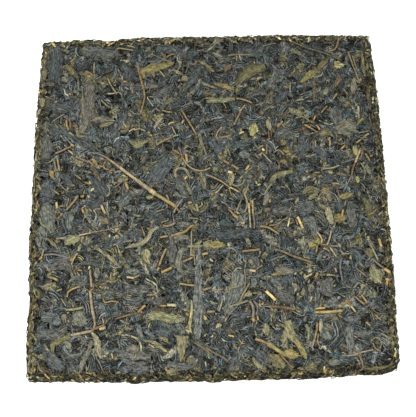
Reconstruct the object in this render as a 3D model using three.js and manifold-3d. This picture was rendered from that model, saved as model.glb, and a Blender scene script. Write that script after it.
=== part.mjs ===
// A square brick of dark tea: leaves, flakes and stems steamed and pressed flat in a mould.
// It is one solid: a slab with rounded rims and a rough, layered outline, and the stems and
// leaves that show on its face and sides lie half sunk in it. Millimetres, +Z up, and the
// origin is under the middle of the brick, on the face that it rests on.
import * as THREE from 'three';
import { mergeVertices } from 'three/addons/utils/BufferGeometryUtils.js';
import Module from 'manifold-3d';

// Driving dimensions of the slab.
const SIDE = 200; // the mould, across its flats
const THICKNESS = 28; // between the two pressed faces
const RIM = 4; // radius of the worn rims
const BULGE = 0.1; // how far the middle of a side stands out past the mould's flat
const CORNER_TUCK = 2; // how far a side draws in again towards its ends
const REST_RADIUS = 62; // the truly flat middle of the underside

// Driving dimensions of the leaf.
const CREVICE_DEPTH = 1.3; // the deepest gap between leaves in the pressed face
const CREVICE_SPACING = 9; // from one gap to the next, about the length of a leaf
const LAYER_ROUGHNESS = 0.8; // how far leaf ends stand out of a side
const LAYER_LENGTH = 10; // leaf ends in a side, along it
const LAYER_HEIGHT = 5; // and up it
const PIECE_SINK = 2.2; // how deep a stem or leaf reaches into the slab
const STEM_PROUD = 0.45; // part of a stem's width that stands out of the face
const LEAF_PROUD = 0.7; // height of a flat leaf's back over the face
const LEAF_CURL = 0.45; // how much that height changes along the leaf
const BEND_STEP = 10; // a bent piece has about one facet to this length

// Facets of the slab: cells across a face and up a side.
const FACE_CELLS = 25;
const SIDE_CELLS = 5;
const GRID_SLACK = 0.01; // a grid point this close to a face lies in it

// Loose random leaves: a seeded rule spreads them evenly over the face and the sides.
const RANDOM_SEED = 20;
const FACE_LEAF_ROWS = 5;
const SIDE_LEAF_COUNT = 9;
const LEAF_LENGTHS = [8, 15];
const LEAF_WIDTHS = [2, 3.6];

const FRONT = 0;
const BACK = 2;
const LEFT = 3;

// Dents in the outline: side, place along it, depth (a lump is negative) and half width.
const EDGE_MARKS = [
  [LEFT, 57, 1.2, 10],
  [LEFT, 39, 0.8, 4],
  [BACK, 60, 1.5, 5],
  [FRONT, -41, -0.9, 4],
  [FRONT, 1, -1.1, 4],
  [FRONT, 80, 0.7, 9],
];

// The stems that stand out on the face: width, then the points that each one passes.
const STEMS = [
  [2.2, [-67, 27], [-59, 24.5], [-50, 17.5], [-40, 9.5], [-31.5, 3], [-19, -6]],
  [1.6, [87.5, 27], [84, 19], [80, 9.5], [75, 1]],
  [1.3, [-41, 82], [-38.5, 71], [-37, 62], [-39, 50]],
  [1.4, [50, 95], [62, 90], [79, 82.5]],
  [1.3, [80, 95], [78.5, 91], [74, 87.5]],
  [1.2, [85, 86.5], [87, 79], [90, 67.5]],
  [1.3, [-59, 75], [-53, 63]],
  [1.2, [-87, 27], [-80, 30.5]],
  [1.3, [-75, 25], [-69, 21.5]],
  [1.3, [-15, 52], [-11, 45], [-6.5, 36.5]],
  [1.5, [-5, 37], [-2, 27], [-1, 24]],
  [1.4, [-29.5, 31], [-17.5, 36.5]],
  [1.1, [-16, 23], [-9, 16], [1, 16.5]],
  [1.1, [-2, 12.5], [8, 7.5], [16, 2.5]],
  [1.1, [84.5, 30], [92, 35.5]],
  [1.1, [-73.3, 1.4], [-79.3, -6.3]],
  [1.1, [-83.3, -22.5], [-69.5, -20.9], [-52.8, -17]],
  [1.1, [-89.9, -32.2], [-77.8, -33.8]],
  [1.9, [-65.3, -42], [-65.3, -54], [-62.6, -70.5]],
  [1.9, [-74.9, -75.9], [-57.2, -72.2]],
  [1.6, [-78.7, -62.4], [-69.5, -61.5]],
  [1.4, [-24.1, -29.7], [-28.7, -40.5]],
  [1.1, [-15.5, -2.2], [-20.1, -9.3]],
  [1.3, [-15, -36.8], [-9.9, -34.7]],
  [1.3, [-17.2, -48.8], [-8.3, -50.1]],
  [1.9, [-24.1, -60.3], [-19.1, -60.3]],
  [1.7, [-39.9, -63.4], [-35.8, -59.9]],
  [1.1, [-52, -67.4], [-41, -64]],
  [1.1, [22, -4.3], [22.4, -18.4]],
  [1.7, [10.5, -7.6], [15.5, -13]],
  [1.2, [17.2, -31.8], [27.2, -30.9]],
  [1.5, [35.1, -30.9], [44.3, -34.7], [55.9, -39.3]],
  [1.6, [48.6, -13], [51.3, -19.7]],
  [1.1, [59, -22], [61, -28]],
  [1.2, [67, -21.3], [64.5, -29.3]],
  [1.1, [65.5, -30.7], [68.8, -36.1]],
  [1.1, [88, -29.9], [91.3, -38.8]],
  [1.6, [88.4, -38.2], [94.7, -43.8]],
  [1.7, [29.7, -53.8], [34.7, -59]],
  [2.2, [20.5, -58.8], [22.6, -68.8]],
  [1.3, [31.3, -62], [45.1, -64]],
  [2.6, [23, -79], [35.5, -85.5], [41.8, -89.3]],
  [1.9, [55.3, -65.7], [70.5, -65.7]],
  [1.3, [56.3, -73], [52.6, -84.7]],
  [1.6, [77.2, -57.8], [82.6, -62.6]],
  [1.1, [69.7, -89.3], [85.5, -87.2]],
];

// The flat leaves that stand out: greatest width, then the points along the midrib.
const LEAVES = [
  [7, [-70.5, 72], [-71, 38]],
  [5, [-40, 77], [-20, 81]],
  [4, [31, 76], [16, 67]],
  [2.6, [5, 68], [15, 64]],
  [2.6, [0, 57.5], [16, 58]],
  [3.6, [72, 82], [66, 75], [55, 68]],
  [4.5, [78.5, 82], [78.5, 76]],
  [3.2, [-90, 45], [-78, 37]],
  [4, [-77, 36], [-65, 30]],
  [6, [-93, 36], [-93, 25]],
  [4.5, [-45, 33], [-33, 31]],
  [4, [-24, 17], [-34, 6]],
  [5, [25.5, 42], [25.5, 35]],
  [3, [34.5, 45], [35.5, 38]],
  [9, [74, 39], [85, 41]],
  [2.6, [47.5, 13], [37, 10], [32, 0]],
  [8, [-90, -5], [-89, -19]],
  [5.5, [-79, -23], [-71, -23]],
  [3.5, [-44.5, 1.2], [-49.5, -4.3]],
  [2.6, [-46.6, -28.8], [-36.6, -26.3], [-28.3, -17.2]],
  [2.2, [-63.7, -27.8], [-51.6, -37.2]],
  [1.8, [-21.2, -22.2], [-8.7, -16.5]],
  [4.5, [-35, -29.5], [-33.5, -38]],
  [4, [-14, -30.5], [-17, -42]],
  [3.6, [-12.8, -28.4], [8, -28]],
  [3.6, [3, -22], [25, -22]],
  [7, [48, -9.5], [58, -7]],
  [8, [55, -14], [58, -24.5]],
  [2.6, [55.5, -3.4], [60.5, -0.1]],
  [3.5, [74.5, -2], [80.5, 0.5]],
  [3.5, [66, -8.4], [66, -16.8]],
  [5, [69, -14.5], [74.5, -14]],
  [6.5, [87, -41.5], [90.5, -50]],
  [6, [16, -45], [13, -62]],
  [3.6, [60.5, -62.3], [74, -63]],
  [4.4, [-7.2, -30], [-7, -52], [-8, -75]],
  [4.2, [-34, -66], [-15, -69]],
  [6.5, [-16, -77], [-16.6, -90]],
  [1.8, [-10.8, -58], [-11.5, -75]],
  [3, [-38.3, -70.5], [-36.6, -78.8]],
  [2.2, [-35.8, -78.8], [-24.5, -84.7]],
  [3.2, [-9.5, -80.1], [8, -90]],
  [4.6, [41, -71], [43, -80], [49.5, -90]],
  [3.6, [29, -70.5], [29, -77]],
  [5, [28, -92], [36.5, -89]],
  [4.6, [74, -77], [73.8, -89.5]],
  [6, [-92, -76], [-78, -77]],
  [6, [-72, -64], [-66, -72]],
  [3.2, [-62.8, -76], [-59.5, -88]],
  [2.4, [-64.5, -77], [-70.5, -94]],
  [1.5, [-78.7, -55.5], [-77.8, -52.6], [-71.2, -49.7]],
];

const wasm = await Module();
wasm.setup();

// Seeded chance: the same numbers in the same order on every run.
function seededRandom(seed) {
  let state = seed;
  return (low, high) => {
    state = (state + 0x6d2b79f5) | 0;
    let bits = Math.imul(state ^ (state >>> 15), 1 | state);
    bits = (bits + Math.imul(bits ^ (bits >>> 7), 61 | bits)) ^ bits;
    return low + ((high - low) * ((bits ^ (bits >>> 14)) >>> 0)) / 2 ** 32;
  };
}

// Smooth noise between 0 and 1 that swells and dips about once in each unit of x and y.
function latticeValue(column, row, seed) {
  const wave = Math.sin(column * 127.1 + row * 311.7 + seed * 74.7) * 43758.5453;
  return wave - Math.floor(wave);
}

function noise(x, y, seed) {
  const column = Math.floor(x);
  const row = Math.floor(y);
  const across = THREE.MathUtils.smoothstep(x - column, 0, 1);
  const up = THREE.MathUtils.smoothstep(y - row, 0, 1);
  const value = (i, j) => latticeValue(column + i, row + j, seed);
  const low = THREE.MathUtils.lerp(value(0, 0), value(1, 0), across);
  const high = THREE.MathUtils.lerp(value(0, 1), value(1, 1), across);
  return THREE.MathUtils.lerp(low, high, up);
}

// Height of the pressed face: level where the mould pressed it, with gaps between the leaves.
function faceHeight(x, y) {
  const gap = noise(x / CREVICE_SPACING, y / CREVICE_SPACING, 1) - 0.45;
  return THICKNESS - CREVICE_DEPTH * THREE.MathUtils.clamp(gap * 2, 0, 1);
}

// Height of the underside: level in the middle, with gaps like the face's round it.
function baseHeight(x, y) {
  const gap = noise(x / CREVICE_SPACING, y / CREVICE_SPACING, 2) - 0.55;
  const away = Math.hypot(x, y) > REST_RADIUS ? 1 : 0;
  return away * CREVICE_DEPTH * THREE.MathUtils.clamp(gap * 2, 0, 1);
}

// How far a side reaches from the middle of the brick, at a place along it and a height.
function sideReach(side, along, height) {
  const tuck = CORNER_TUCK * Math.abs(along / (SIDE / 2)) ** 3;
  const marks = EDGE_MARKS.filter((mark) => mark[0] === side).map(
    ([, place, depth, halfWidth]) => depth * Math.exp(-(((along - place) / halfWidth) ** 2)),
  );
  const dents = marks.reduce((sum, dent) => sum + dent, 0);
  const rough = noise(along / LAYER_LENGTH + 50 * side, height / LAYER_HEIGHT, 3) - 0.5;
  return SIDE / 2 + BULGE - tuck - dents + LAYER_ROUGHNESS * rough;
}

// A grid line's place: even cells over the flat of a face, and one cell as wide as the rim.
function gridPlace(fraction, half, cells) {
  const flatPart = 1 - 2 / cells;
  if (Math.abs(fraction) > flatPart + 0.5 / cells) return Math.sign(fraction) * half;
  return (fraction / flatPart) * (half - RIM);
}

// The slab: a fine box whose rims are rounded and whose skin then moves to the rough outline.
function slab() {
  const geometry = new THREE.BoxGeometry(2, 2, 2, FACE_CELLS, FACE_CELLS, SIDE_CELLS);
  const half = new THREE.Vector3(SIDE / 2, SIDE / 2, THICKNESS / 2);
  const inner = half.clone().subScalar(RIM);
  const position = geometry.attributes.position;
  const point = new THREE.Vector3();
  for (let i = 0; i < position.count; i++) {
    point.fromBufferAttribute(position, i);
    point.x = gridPlace(point.x, half.x, FACE_CELLS);
    point.y = gridPlace(point.y, half.y, FACE_CELLS);
    point.z = gridPlace(point.z, half.z, SIDE_CELLS);
    const core = point.clone().clamp(inner.clone().negate(), inner);
    point.sub(core).setLength(RIM).add(core);
    roughen(point);
    position.setXYZ(i, point.x, point.y, point.z);
  }
  return geometry;
}

// Moves a point of the smooth slab, centred on the origin, to the rough brick over Z = 0.
function roughen(point) {
  const { x, y } = point;
  const height = point.z + THICKNESS / 2;
  const isFace = height > THICKNESS - GRID_SLACK;
  const isBase = height < GRID_SLACK;
  point.x *= sideReach(x > 0 ? 1 : LEFT, x > 0 ? y : -y, height) / (SIDE / 2);
  point.y *= sideReach(y > 0 ? BACK : FRONT, y > 0 ? -x : x, height) / (SIDE / 2);
  point.z = height;
  if (isFace) point.z = faceHeight(x, y);
  if (isBase) point.z = baseHeight(x, y);
}

// Where a place on the face, or on a side turned to the front, lies in the brick's frame.
function onFace(along, across, lift) {
  return new THREE.Vector3(along, across, faceHeight(along, across) + lift);
}

function onSide(side) {
  const turn = new THREE.Matrix4().makeRotationZ((side * Math.PI) / 2);
  return (along, height, lift) => {
    const reach = sideReach(side, along, height) + lift;
    return new THREE.Vector3(along, -reach, height).applyMatrix4(turn);
  };
}

// Lays a straight piece along a path. The piece runs from -0.5 to 0.5 along X; its Y is a part
// of the width, its Z a part of the height, and whatever is below Z = 0 sinks into the slab.
function layAlong(geometry, points, place, widthAt, heightAt) {
  const spots = points.map(([along, across]) => new THREE.Vector3(along, across, 0));
  const path = new THREE.CatmullRomCurve3(spots, false, 'centripetal');
  const position = geometry.attributes.position;
  for (let i = 0; i < position.count; i++) {
    const part = position.getX(i) + 0.5;
    const middle = path.getPointAt(part);
    const heading = path.getTangentAt(part);
    const off = position.getY(i) * widthAt(part);
    const level = position.getZ(i);
    const lift = level < 0 ? level * PIECE_SINK * 2 : level * 2 * heightAt(part);
    const spot = place(middle.x - heading.y * off, middle.y + heading.x * off, lift);
    position.setXYZ(i, spot.x, spot.y, spot.z);
  }
  return geometry;
}

function bendSteps(points) {
  let length = 0;
  for (let i = 1; i < points.length; i++) {
    length += Math.hypot(points[i][0] - points[i - 1][0], points[i][1] - points[i - 1][1]);
  }
  return Math.max(points.length - 1, Math.round(length / BEND_STEP));
}

// A stem: a hexagonal rod, a little thicker at one end, most of it out of the face.
function stem(width, points, place) {
  const steps = bendSteps(points);
  const rod = new THREE.CylinderGeometry(0.5, 0.5, 1, 6, steps).rotateZ(-Math.PI / 2);
  const widthAt = (part) => width * (1.1 - 0.25 * part);
  return layAlong(rod, points, place, widthAt, () => width * STEM_PROUD);
}

// A leaf: a flat strip that is widest in the middle and lies in slow waves.
function leaf(width, points, place) {
  const steps = bendSteps(points) + 1;
  const strip = new THREE.BoxGeometry(1, 1, 1, steps, 1, 1);
  const phase = points[0][0];
  const widthAt = (part) => width * (0.4 + 0.6 * Math.sin(Math.PI * Math.min(part + 0.12, 1)));
  const heightAt = (part) => LEAF_PROUD * (1 + LEAF_CURL * Math.sin(9 * part + phase));
  return layAlong(strip, points, place, widthAt, heightAt);
}

// A random leaf: its middle is given, and its length, width and direction are drawn.
function randomLeaf(random, along, across, steepest, place) {
  const reach = random(...LEAF_LENGTHS) / 2;
  const angle = random(-steepest, steepest);
  const step = [reach * Math.cos(angle), reach * Math.sin(angle)];
  const ends = [
    [along - step[0], across - step[1]],
    [along + step[0], across + step[1]],
  ];
  return leaf(random(...LEAF_WIDTHS), ends, place);
}

function faceLeaves(random) {
  const cell = (SIDE - 8 * RIM) / FACE_LEAF_ROWS;
  const leaves = [];
  for (let row = 0; row < FACE_LEAF_ROWS; row++) {
    for (let column = 0; column < FACE_LEAF_ROWS; column++) {
      const along = (column + random(0.2, 0.8) - FACE_LEAF_ROWS / 2) * cell;
      const across = (row + random(0.2, 0.8) - FACE_LEAF_ROWS / 2) * cell;
      leaves.push(randomLeaf(random, along, across, Math.PI / 2, onFace));
    }
  }
  return leaves;
}

function sideLeaves(random) {
  const cell = (SIDE - 4 * RIM) / SIDE_LEAF_COUNT;
  const leaves = [];
  for (let side = 0; side < 4; side++) {
    for (let i = 0; i < SIDE_LEAF_COUNT; i++) {
      const along = (i + random(0.3, 0.7) - SIDE_LEAF_COUNT / 2) * cell;
      const height = random(2 * RIM, THICKNESS - 2 * RIM);
      leaves.push(randomLeaf(random, along, height, 0.25, onSide(side)));
    }
  }
  return leaves;
}

// Joining: a closed geometry becomes a solid, and the joined solid a geometry again.
function solidOf(geometry) {
  geometry.deleteAttribute('normal');
  geometry.deleteAttribute('uv');
  const merged = mergeVertices(geometry);
  const vertProperties = new Float32Array(merged.attributes.position.array);
  const triVerts = new Uint32Array(merged.index.array);
  return new wasm.Manifold(new wasm.Mesh({ numProp: 3, vertProperties, triVerts }));
}

function geometryOf(solid) {
  const { vertProperties, triVerts } = solid.getMesh();
  const geometry = new THREE.BufferGeometry();
  geometry.setAttribute('position', new THREE.BufferAttribute(vertProperties, 3));
  geometry.setIndex(new THREE.BufferAttribute(triVerts, 1));
  geometry.computeVertexNormals();
  return geometry;
}

function teaBrick() {
  const random = seededRandom(RANDOM_SEED);
  const pieces = [
    ...LEAVES.map(([width, ...points]) => leaf(width, points, onFace)),
    ...STEMS.map(([width, ...points]) => stem(width, points, onFace)),
    ...faceLeaves(random),
    ...sideLeaves(random),
  ];
  const whole = pieces.reduce((solid, piece) => solid.add(solidOf(piece)), solidOf(slab()));
  const geometry = geometryOf(whole);
  geometry.computeBoundingBox();
  const middle = geometry.boundingBox.getCenter(new THREE.Vector3());
  geometry.translate(-middle.x, -middle.y, 0);
  const pressedLeaf = new THREE.MeshStandardMaterial({ color: 0x5d5e53, roughness: 0.8, metalness: 0 });
  const mesh = new THREE.Mesh(geometry, pressedLeaf);
  mesh.name = 'tea_brick';
  return mesh;
}

const group = new THREE.Group();
group.add(teaBrick());

export default group;
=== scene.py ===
# %% [markdown]
# # A square brick of dark tea
#
# A tea brick is thousands of dry leaves, flakes and stems, steamed and pressed flat in a
# square mould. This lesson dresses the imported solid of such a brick. It lays the real leaves,
# one mesh for each kind, over a dark core, and gives each kind its own dry, fibrous finish.
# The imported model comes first, because every leaf has to stay in the space that it holds.

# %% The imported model
import math

import bmesh
import bpy
import numpy as np
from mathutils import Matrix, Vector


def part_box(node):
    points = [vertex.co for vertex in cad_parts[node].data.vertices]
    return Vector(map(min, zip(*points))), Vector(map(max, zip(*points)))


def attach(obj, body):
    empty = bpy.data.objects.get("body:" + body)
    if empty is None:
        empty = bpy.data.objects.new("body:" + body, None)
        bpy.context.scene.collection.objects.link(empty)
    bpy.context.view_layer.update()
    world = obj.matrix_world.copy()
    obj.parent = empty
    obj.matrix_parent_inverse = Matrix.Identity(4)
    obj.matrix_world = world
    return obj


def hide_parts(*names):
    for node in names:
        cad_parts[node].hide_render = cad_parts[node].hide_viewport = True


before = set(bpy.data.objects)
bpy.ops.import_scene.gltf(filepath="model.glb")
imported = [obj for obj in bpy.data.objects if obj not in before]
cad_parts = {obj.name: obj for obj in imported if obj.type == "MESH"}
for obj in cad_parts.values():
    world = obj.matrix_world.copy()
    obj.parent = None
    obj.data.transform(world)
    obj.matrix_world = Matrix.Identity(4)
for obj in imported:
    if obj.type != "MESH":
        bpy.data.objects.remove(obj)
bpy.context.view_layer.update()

brick_low, brick_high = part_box("tea_brick")
print("the brick's box, in metres:", brick_low, brick_high)

# %% [markdown]
# ## Sizes
#
# Leaves are measured in millimetres, so the lesson works in millimetres and changes to
# metres only when a mesh is written. The slab has rounded rims, sides that bulge a little in
# the middle, and a few dents and lumps in its outline. The pressed face lies about a
# millimetre under the top of the box, which the proudest leaves and stems reach.

# %% Sizes of the slab and of its outline
MM = 0.001
SIDE = 200.0
THICKNESS = 28.0
RIM = 4.0
HALF = SIDE / 2
FLAT = HALF - RIM
BULGE = 0.1
CORNER_TUCK = 2.0
CORNER_PULL = 0.26
FRONT, RIGHT, BACK, LEFT = range(4)
# Side, place along it, depth (a lump is negative) and half width.
EDGE_MARKS = (
    (LEFT, 57, 1.2, 10),
    (LEFT, 39, 0.8, 4),
    (BACK, 60, 1.5, 5),
    (FRONT, -41, -0.9, 4),
    (FRONT, 1, -1.1, 4),
    (FRONT, 80, 0.7, 9),
    (LEFT, 45, -0.5, 55),
    (RIGHT, -92, -0.7, 14),
    (RIGHT, 0, -0.25, 50),
    (FRONT, -96, -0.6, 10),
    (FRONT, 92, -0.4, 10),
    (BACK, -94, -0.5, 12),
    (RIGHT, -98.5, 1.3, 3),
    (FRONT, 98.5, 1.3, 3),
)
print("face height over the base:", THICKNESS, "mm; box:", (brick_high[2] - brick_low[2]) / MM)

# %% [markdown]
# ## Camera
#
# The photo looks down on the brick, about 14 degrees off the vertical. The camera is set
# first, because light and colours are judged through it.

# %% The camera
PHOTO_SIZE = (416, 417)
CAMERA_TILT = math.radians(14.114)
CAMERA_ROLL = math.radians(-1.1447)
CAMERA_PLACE = (-0.867, -95.97, THICKNESS + 353.03)
FOCAL_PIXELS = 652.08
SENSOR_WIDTH = 36
NEAREST = 0.01


def add_camera():
    data = bpy.data.cameras.new("camera")
    data.sensor_width = SENSOR_WIDTH
    data.lens = data.sensor_width * FOCAL_PIXELS / max(PHOTO_SIZE)
    data.clip_start = NEAREST
    camera = bpy.data.objects.new("camera", data)
    camera.location = [value * MM for value in CAMERA_PLACE]
    camera.rotation_mode = "ZYX"
    camera.rotation_euler = (CAMERA_TILT, 0, 0)
    turn = camera.rotation_euler.to_matrix()
    roll = type(turn).Rotation(CAMERA_ROLL, 3, "Z")
    camera.rotation_euler = (turn @ roll).to_euler("ZYX")
    bpy.context.scene.collection.objects.link(camera)
    bpy.context.scene.camera = camera
    print("lens:", round(data.lens, 2), "mm")


add_camera()

# %% [markdown]
# ## Floor and light
#
# The brick lies on plain white paper under a large soft light, and throws almost no shadow.
# A bright sky all round gives that. One broad lamp over the front left adds the faint sheen
# that shows which way each leaf turns. A weaker, cooler one over the back right keeps the
# other sides of the leaves from going flat.

# %% Floor, sky and lamps
FLOOR_REACH = 3.0
PAPER_COLOUR = (0.98, 0.99, 0.99)
PAPER_ROUGHNESS = 0.9
SKY_COLOUR = (0.97, 1.0, 1.0, 1)
SKY_STRENGTH = 1.3
LAMP_SIZE = 0.5
LAMPS = (
    # name, place in metres, power in watts, colour
    ("lamp_over", (-0.5, -0.4, 0.9), 11.0, (1.0, 0.99, 0.98)),
    ("lamp_side", (0.6, 0.6, 0.8), 6.0, (0.94, 0.99, 1.0)),
)


def plain_material(name, colour, roughness):
    material = bpy.data.materials.new(name)
    material.use_nodes = True
    shader = material.node_tree.nodes["Principled BSDF"]
    shader.inputs["Base Color"].default_value = (*colour, 1)
    shader.inputs["Roughness"].default_value = roughness
    return material


def add_floor():
    bpy.ops.object.select_all(action="DESELECT")
    bpy.ops.mesh.primitive_plane_add(size=FLOOR_REACH)
    floor = bpy.context.object
    floor.name = "floor"
    floor.data.materials.append(plain_material("white_paper", PAPER_COLOUR, PAPER_ROUGHNESS))


def add_lamp(name, place, power, colour):
    data = bpy.data.lights.new(name, "AREA")
    data.energy = power
    data.size = LAMP_SIZE
    data.color = colour
    lamp = bpy.data.objects.new(name, data)
    lamp.location = place
    aim = -lamp.location
    lamp.rotation_euler = aim.to_track_quat("-Z", "Y").to_euler()
    bpy.context.scene.collection.objects.link(lamp)


def add_sky():
    world = bpy.data.worlds.new("sky")
    world.use_nodes = True
    backdrop = world.node_tree.nodes["Background"]
    backdrop.inputs["Color"].default_value = SKY_COLOUR
    backdrop.inputs["Strength"].default_value = SKY_STRENGTH
    bpy.context.scene.world = world


add_floor()
add_sky()
for lamp in LAMPS:
    add_lamp(*lamp)
bpy.context.scene.view_settings.view_transform = "Standard"
print("lamps:", len(LAMPS), "and a sky of strength", SKY_STRENGTH)

# %% [markdown]
# ## From a flat sheet to the brick's skin
#
# It is far easier to scatter leaves on a flat sheet than on a rounded block. So each leaf is
# laid on a flat sheet, with a height over it, and then every vertex is wrapped round the
# slab. One sheet covers the face and its rims, the other runs once round the four sides.
#
# The outline comes first. Each side bulges a little and draws in towards its ends, and the
# dents and lumps are soft bell curves along it.

# %% The brick's own outline
# Keeps a division from having nothing to divide by.
TINY = 1e-6


def side_reach(side, along):
    reach = HALF + BULGE - CORNER_TUCK * np.abs(along / HALF) ** 3
    for marked, place, depth, half_width in EDGE_MARKS:
        if marked == side:
            reach = reach - depth * np.exp(-(((along - place) / half_width) ** 2))
    return reach


def squared(x, y):
    """Pulls the round corners of the plain slab out, as those of the brick are nearly square."""
    past_x = np.maximum(np.abs(x) - FLAT, 0)
    past_y = np.maximum(np.abs(y) - FLAT, 0)
    slant = 2 * past_x * past_y / np.maximum(past_x**2 + past_y**2, TINY)
    pull = CORNER_PULL * slant**3
    return x + np.sign(x) * past_x * pull, y + np.sign(y) * past_y * pull


def bulged(x, y, z):
    """Moves points of the plain slab to the brick's own uneven outline."""
    x, y = squared(x, y)
    across = np.where(x > 0, side_reach(RIGHT, y), side_reach(LEFT, -y))
    deep = np.where(y > 0, side_reach(BACK, -x), side_reach(FRONT, x))
    return np.stack([x * across / HALF, y * deep / HALF, z], -1)


print("reach of the front side at its middle:", float(side_reach(FRONT, 0.0)), "mm")

# %% [markdown]
# Now the sheets. Past the flat part of the slab, distance on the sheet turns into an angle
# round the rim, and past a quarter turn it runs straight down the side.

# %% Wrapping flat places round the slab
def wrap_face(u, v, lift):
    """The face: u and v are x and y until they pass the flat part and turn down the rim."""
    core_u = np.clip(u, -FLAT, FLAT)
    core_v = np.clip(v, -FLAT, FLAT)
    past = np.hypot(u - core_u, v - core_v)
    turn = np.minimum(past / RIM, math.pi / 2)
    out = (RIM + lift) * np.sin(turn) / np.maximum(past, TINY)
    x = core_u + (u - core_u) * out
    y = core_v + (v - core_v) * out
    z = THICKNESS - RIM + (RIM + lift) * np.cos(turn) - np.maximum(past - RIM * math.pi / 2, 0)
    return bulged(x, y, z)


def wrap_base(u, v, lift):
    """The underside: the face's own wrap, turned over about the Y axis."""
    points = wrap_face(u, v, lift)
    x, y, z = np.moveaxis(points, -1, 0)
    return np.stack([-x, y, THICKNESS - z], -1)


SIDE_STRIDE = 2 * FLAT + RIM * math.pi / 2
SIDE_MIDDLE = THICKNESS / 2


def wrap_side(p, q, lift):
    """The sides: p runs round the brick from the front's left end, q up from mid height."""
    side, along = np.divmod(p, SIDE_STRIDE)
    straight = np.minimum(along, 2 * FLAT)
    turn = (along - straight) / RIM
    core_q = np.clip(q, RIM - SIDE_MIDDLE, SIDE_MIDDLE - RIM)
    past = (q - core_q) / RIM
    tip = np.clip(past, -math.pi / 2, math.pi / 2)
    inward = RIM * np.abs(past - tip)
    out = (RIM + lift) * np.cos(tip) - inward
    x = straight - FLAT + out * np.sin(turn)
    y = -FLAT - out * np.cos(turn)
    z = SIDE_MIDDLE + core_q + (RIM + lift) * np.sin(tip)
    spin = side * math.pi / 2
    return bulged(x * np.cos(spin) - y * np.sin(spin), x * np.sin(spin) + y * np.cos(spin), z)


SWELL_HEIGHT = 0.09
RIPPLE_HEIGHT = 0.14


def relief(u, v):
    """Slow swells of the pressed surface, a few leaves wide."""
    swell = np.sin(0.21 * u + 0.13 * v + 1.0) + np.sin(0.09 * u - 0.24 * v + 2.2)
    ripple = np.sin(0.47 * u + 0.29 * v) * np.sin(0.33 * v - 0.41 * u + 0.7)
    return SWELL_HEIGHT * swell + RIPPLE_HEIGHT * ripple


print("the side sheet is", round(4 * SIDE_STRIDE, 1), "mm long")

# %% [markdown]
# ## Shapes to copy
#
# Tea has flat scraps of leaf, rolled shreds, round stems and whole blades. Each shape is
# modelled once, one millimetre long and wide, from a cylinder or a cube: its long edges are
# subdivided, and its rings are widened or narrowed. The copies are stretched and bent later.

# %% Modelling a shape and reading it
X, Y = 0, 1
# A shape's uncut edges are one millimetre long, so those longer than this are the uncut ones.
UNCUT = 0.9
RING_SLACK = 0.01


def fresh_object(add, **values):
    bpy.ops.object.select_all(action="DESELECT")
    add(**values)
    bpy.ops.object.transform_apply(location=True, rotation=True, scale=True)
    return bpy.context.object


def select_long_edges(axes, length):
    """Selects the edges of the mesh in edit mode that reach further than this along an axis."""
    form = bmesh.from_edit_mesh(bpy.context.object.data)
    bpy.ops.mesh.select_mode(type="EDGE")
    bpy.ops.mesh.select_all(action="DESELECT")
    for edge in form.edges:
        start, end = (point.co for point in edge.verts)
        edge.select_set(any(abs(start[axis] - end[axis]) > length for axis in axes))
    bmesh.update_edit_mesh(bpy.context.object.data)


def select_ring(place):
    """Selects the points of the mesh in edit mode that lie at this place along it."""
    form = bmesh.from_edit_mesh(bpy.context.object.data)
    bpy.ops.mesh.select_mode(type="VERT")
    bpy.ops.mesh.select_all(action="DESELECT")
    for point in form.verts:
        point.select_set(abs(point.co.x - place) < RING_SLACK)
    bmesh.update_edit_mesh(bpy.context.object.data)


def swell_rings(cuts, width_at, height_at):
    """Widens or narrows each ring of the strip, from its first end to its last."""
    for ring in range(cuts + 2):
        place = ring / (cuts + 1) - 0.5
        select_ring(place)
        size = (1, width_at(place), height_at(place))
        bpy.ops.transform.resize(value=size, center_override=(place, 0, 0))


def read_shape(ob):
    """The shape's points, which ring and column each is in, and its faces' corners."""
    mesh = ob.data
    points = np.array([vertex.co for vertex in mesh.vertices])
    ring = np.unique(points[:, 0].round(3), return_inverse=True)[1]
    half = np.array([abs(points[ring == r, 1]).max() for r in range(ring.max() + 1)])
    column = np.unique((points[:, 1] / half[ring]).round(2), return_inverse=True)[1]
    corners = np.array([i for face in mesh.polygons for i in face.vertices])
    starts = np.array([face.loop_start for face in mesh.polygons])
    print(ob.name, "has", len(points), "points and", len(starts), "faces")
    bpy.data.objects.remove(ob)
    return {"points": points, "ring": ring, "column": column, "corners": corners, "starts": starts}


def rod_shape(name, sides, cuts, width_at):
    ob = fresh_object(
        bpy.ops.mesh.primitive_cylinder_add,
        vertices=sides, radius=0.5, depth=1, rotation=(0, math.pi / 2, 0),
    )
    ob.name = name
    bpy.ops.object.mode_set(mode="EDIT")
    bpy.ops.mesh.select_all(action="SELECT")
    bpy.ops.transform.rotate(value=math.pi / 2, orient_axis="X", center_override=(0, 0, 0))
    select_long_edges([X], UNCUT)
    bpy.ops.mesh.subdivide(number_cuts=cuts)
    swell_rings(cuts, width_at, width_at)
    bpy.ops.object.mode_set(mode="OBJECT")
    return read_shape(ob)


CUTS_ACROSS = 3


def blade_shape(name, cuts, width_at):
    ob = fresh_object(bpy.ops.mesh.primitive_cube_add, size=1)
    ob.name = name
    bpy.ops.object.mode_set(mode="EDIT")
    select_long_edges([X], UNCUT)
    bpy.ops.mesh.subdivide(number_cuts=cuts)
    select_long_edges([Y], UNCUT)
    bpy.ops.mesh.subdivide(number_cuts=CUTS_ACROSS)
    swell_rings(cuts, width_at, lambda place: 1)
    bpy.ops.object.mode_set(mode="OBJECT")
    return read_shape(ob)


# %% [markdown]
# The width along a shape is a small function of the place, from -0.5 at one end to 0.5 at
# the other. Most copies are three sided: they are so thin that nobody can tell, and there
# are thousands of them.

# %% The seven shapes
def even(place):
    return 1.0


def blunt(place):
    return 1 - 0.55 * abs(2 * place) ** 3


def pointed(place):
    return 0.3 + 0.7 * math.cos(math.pi * place * 0.9) ** 0.8


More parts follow.
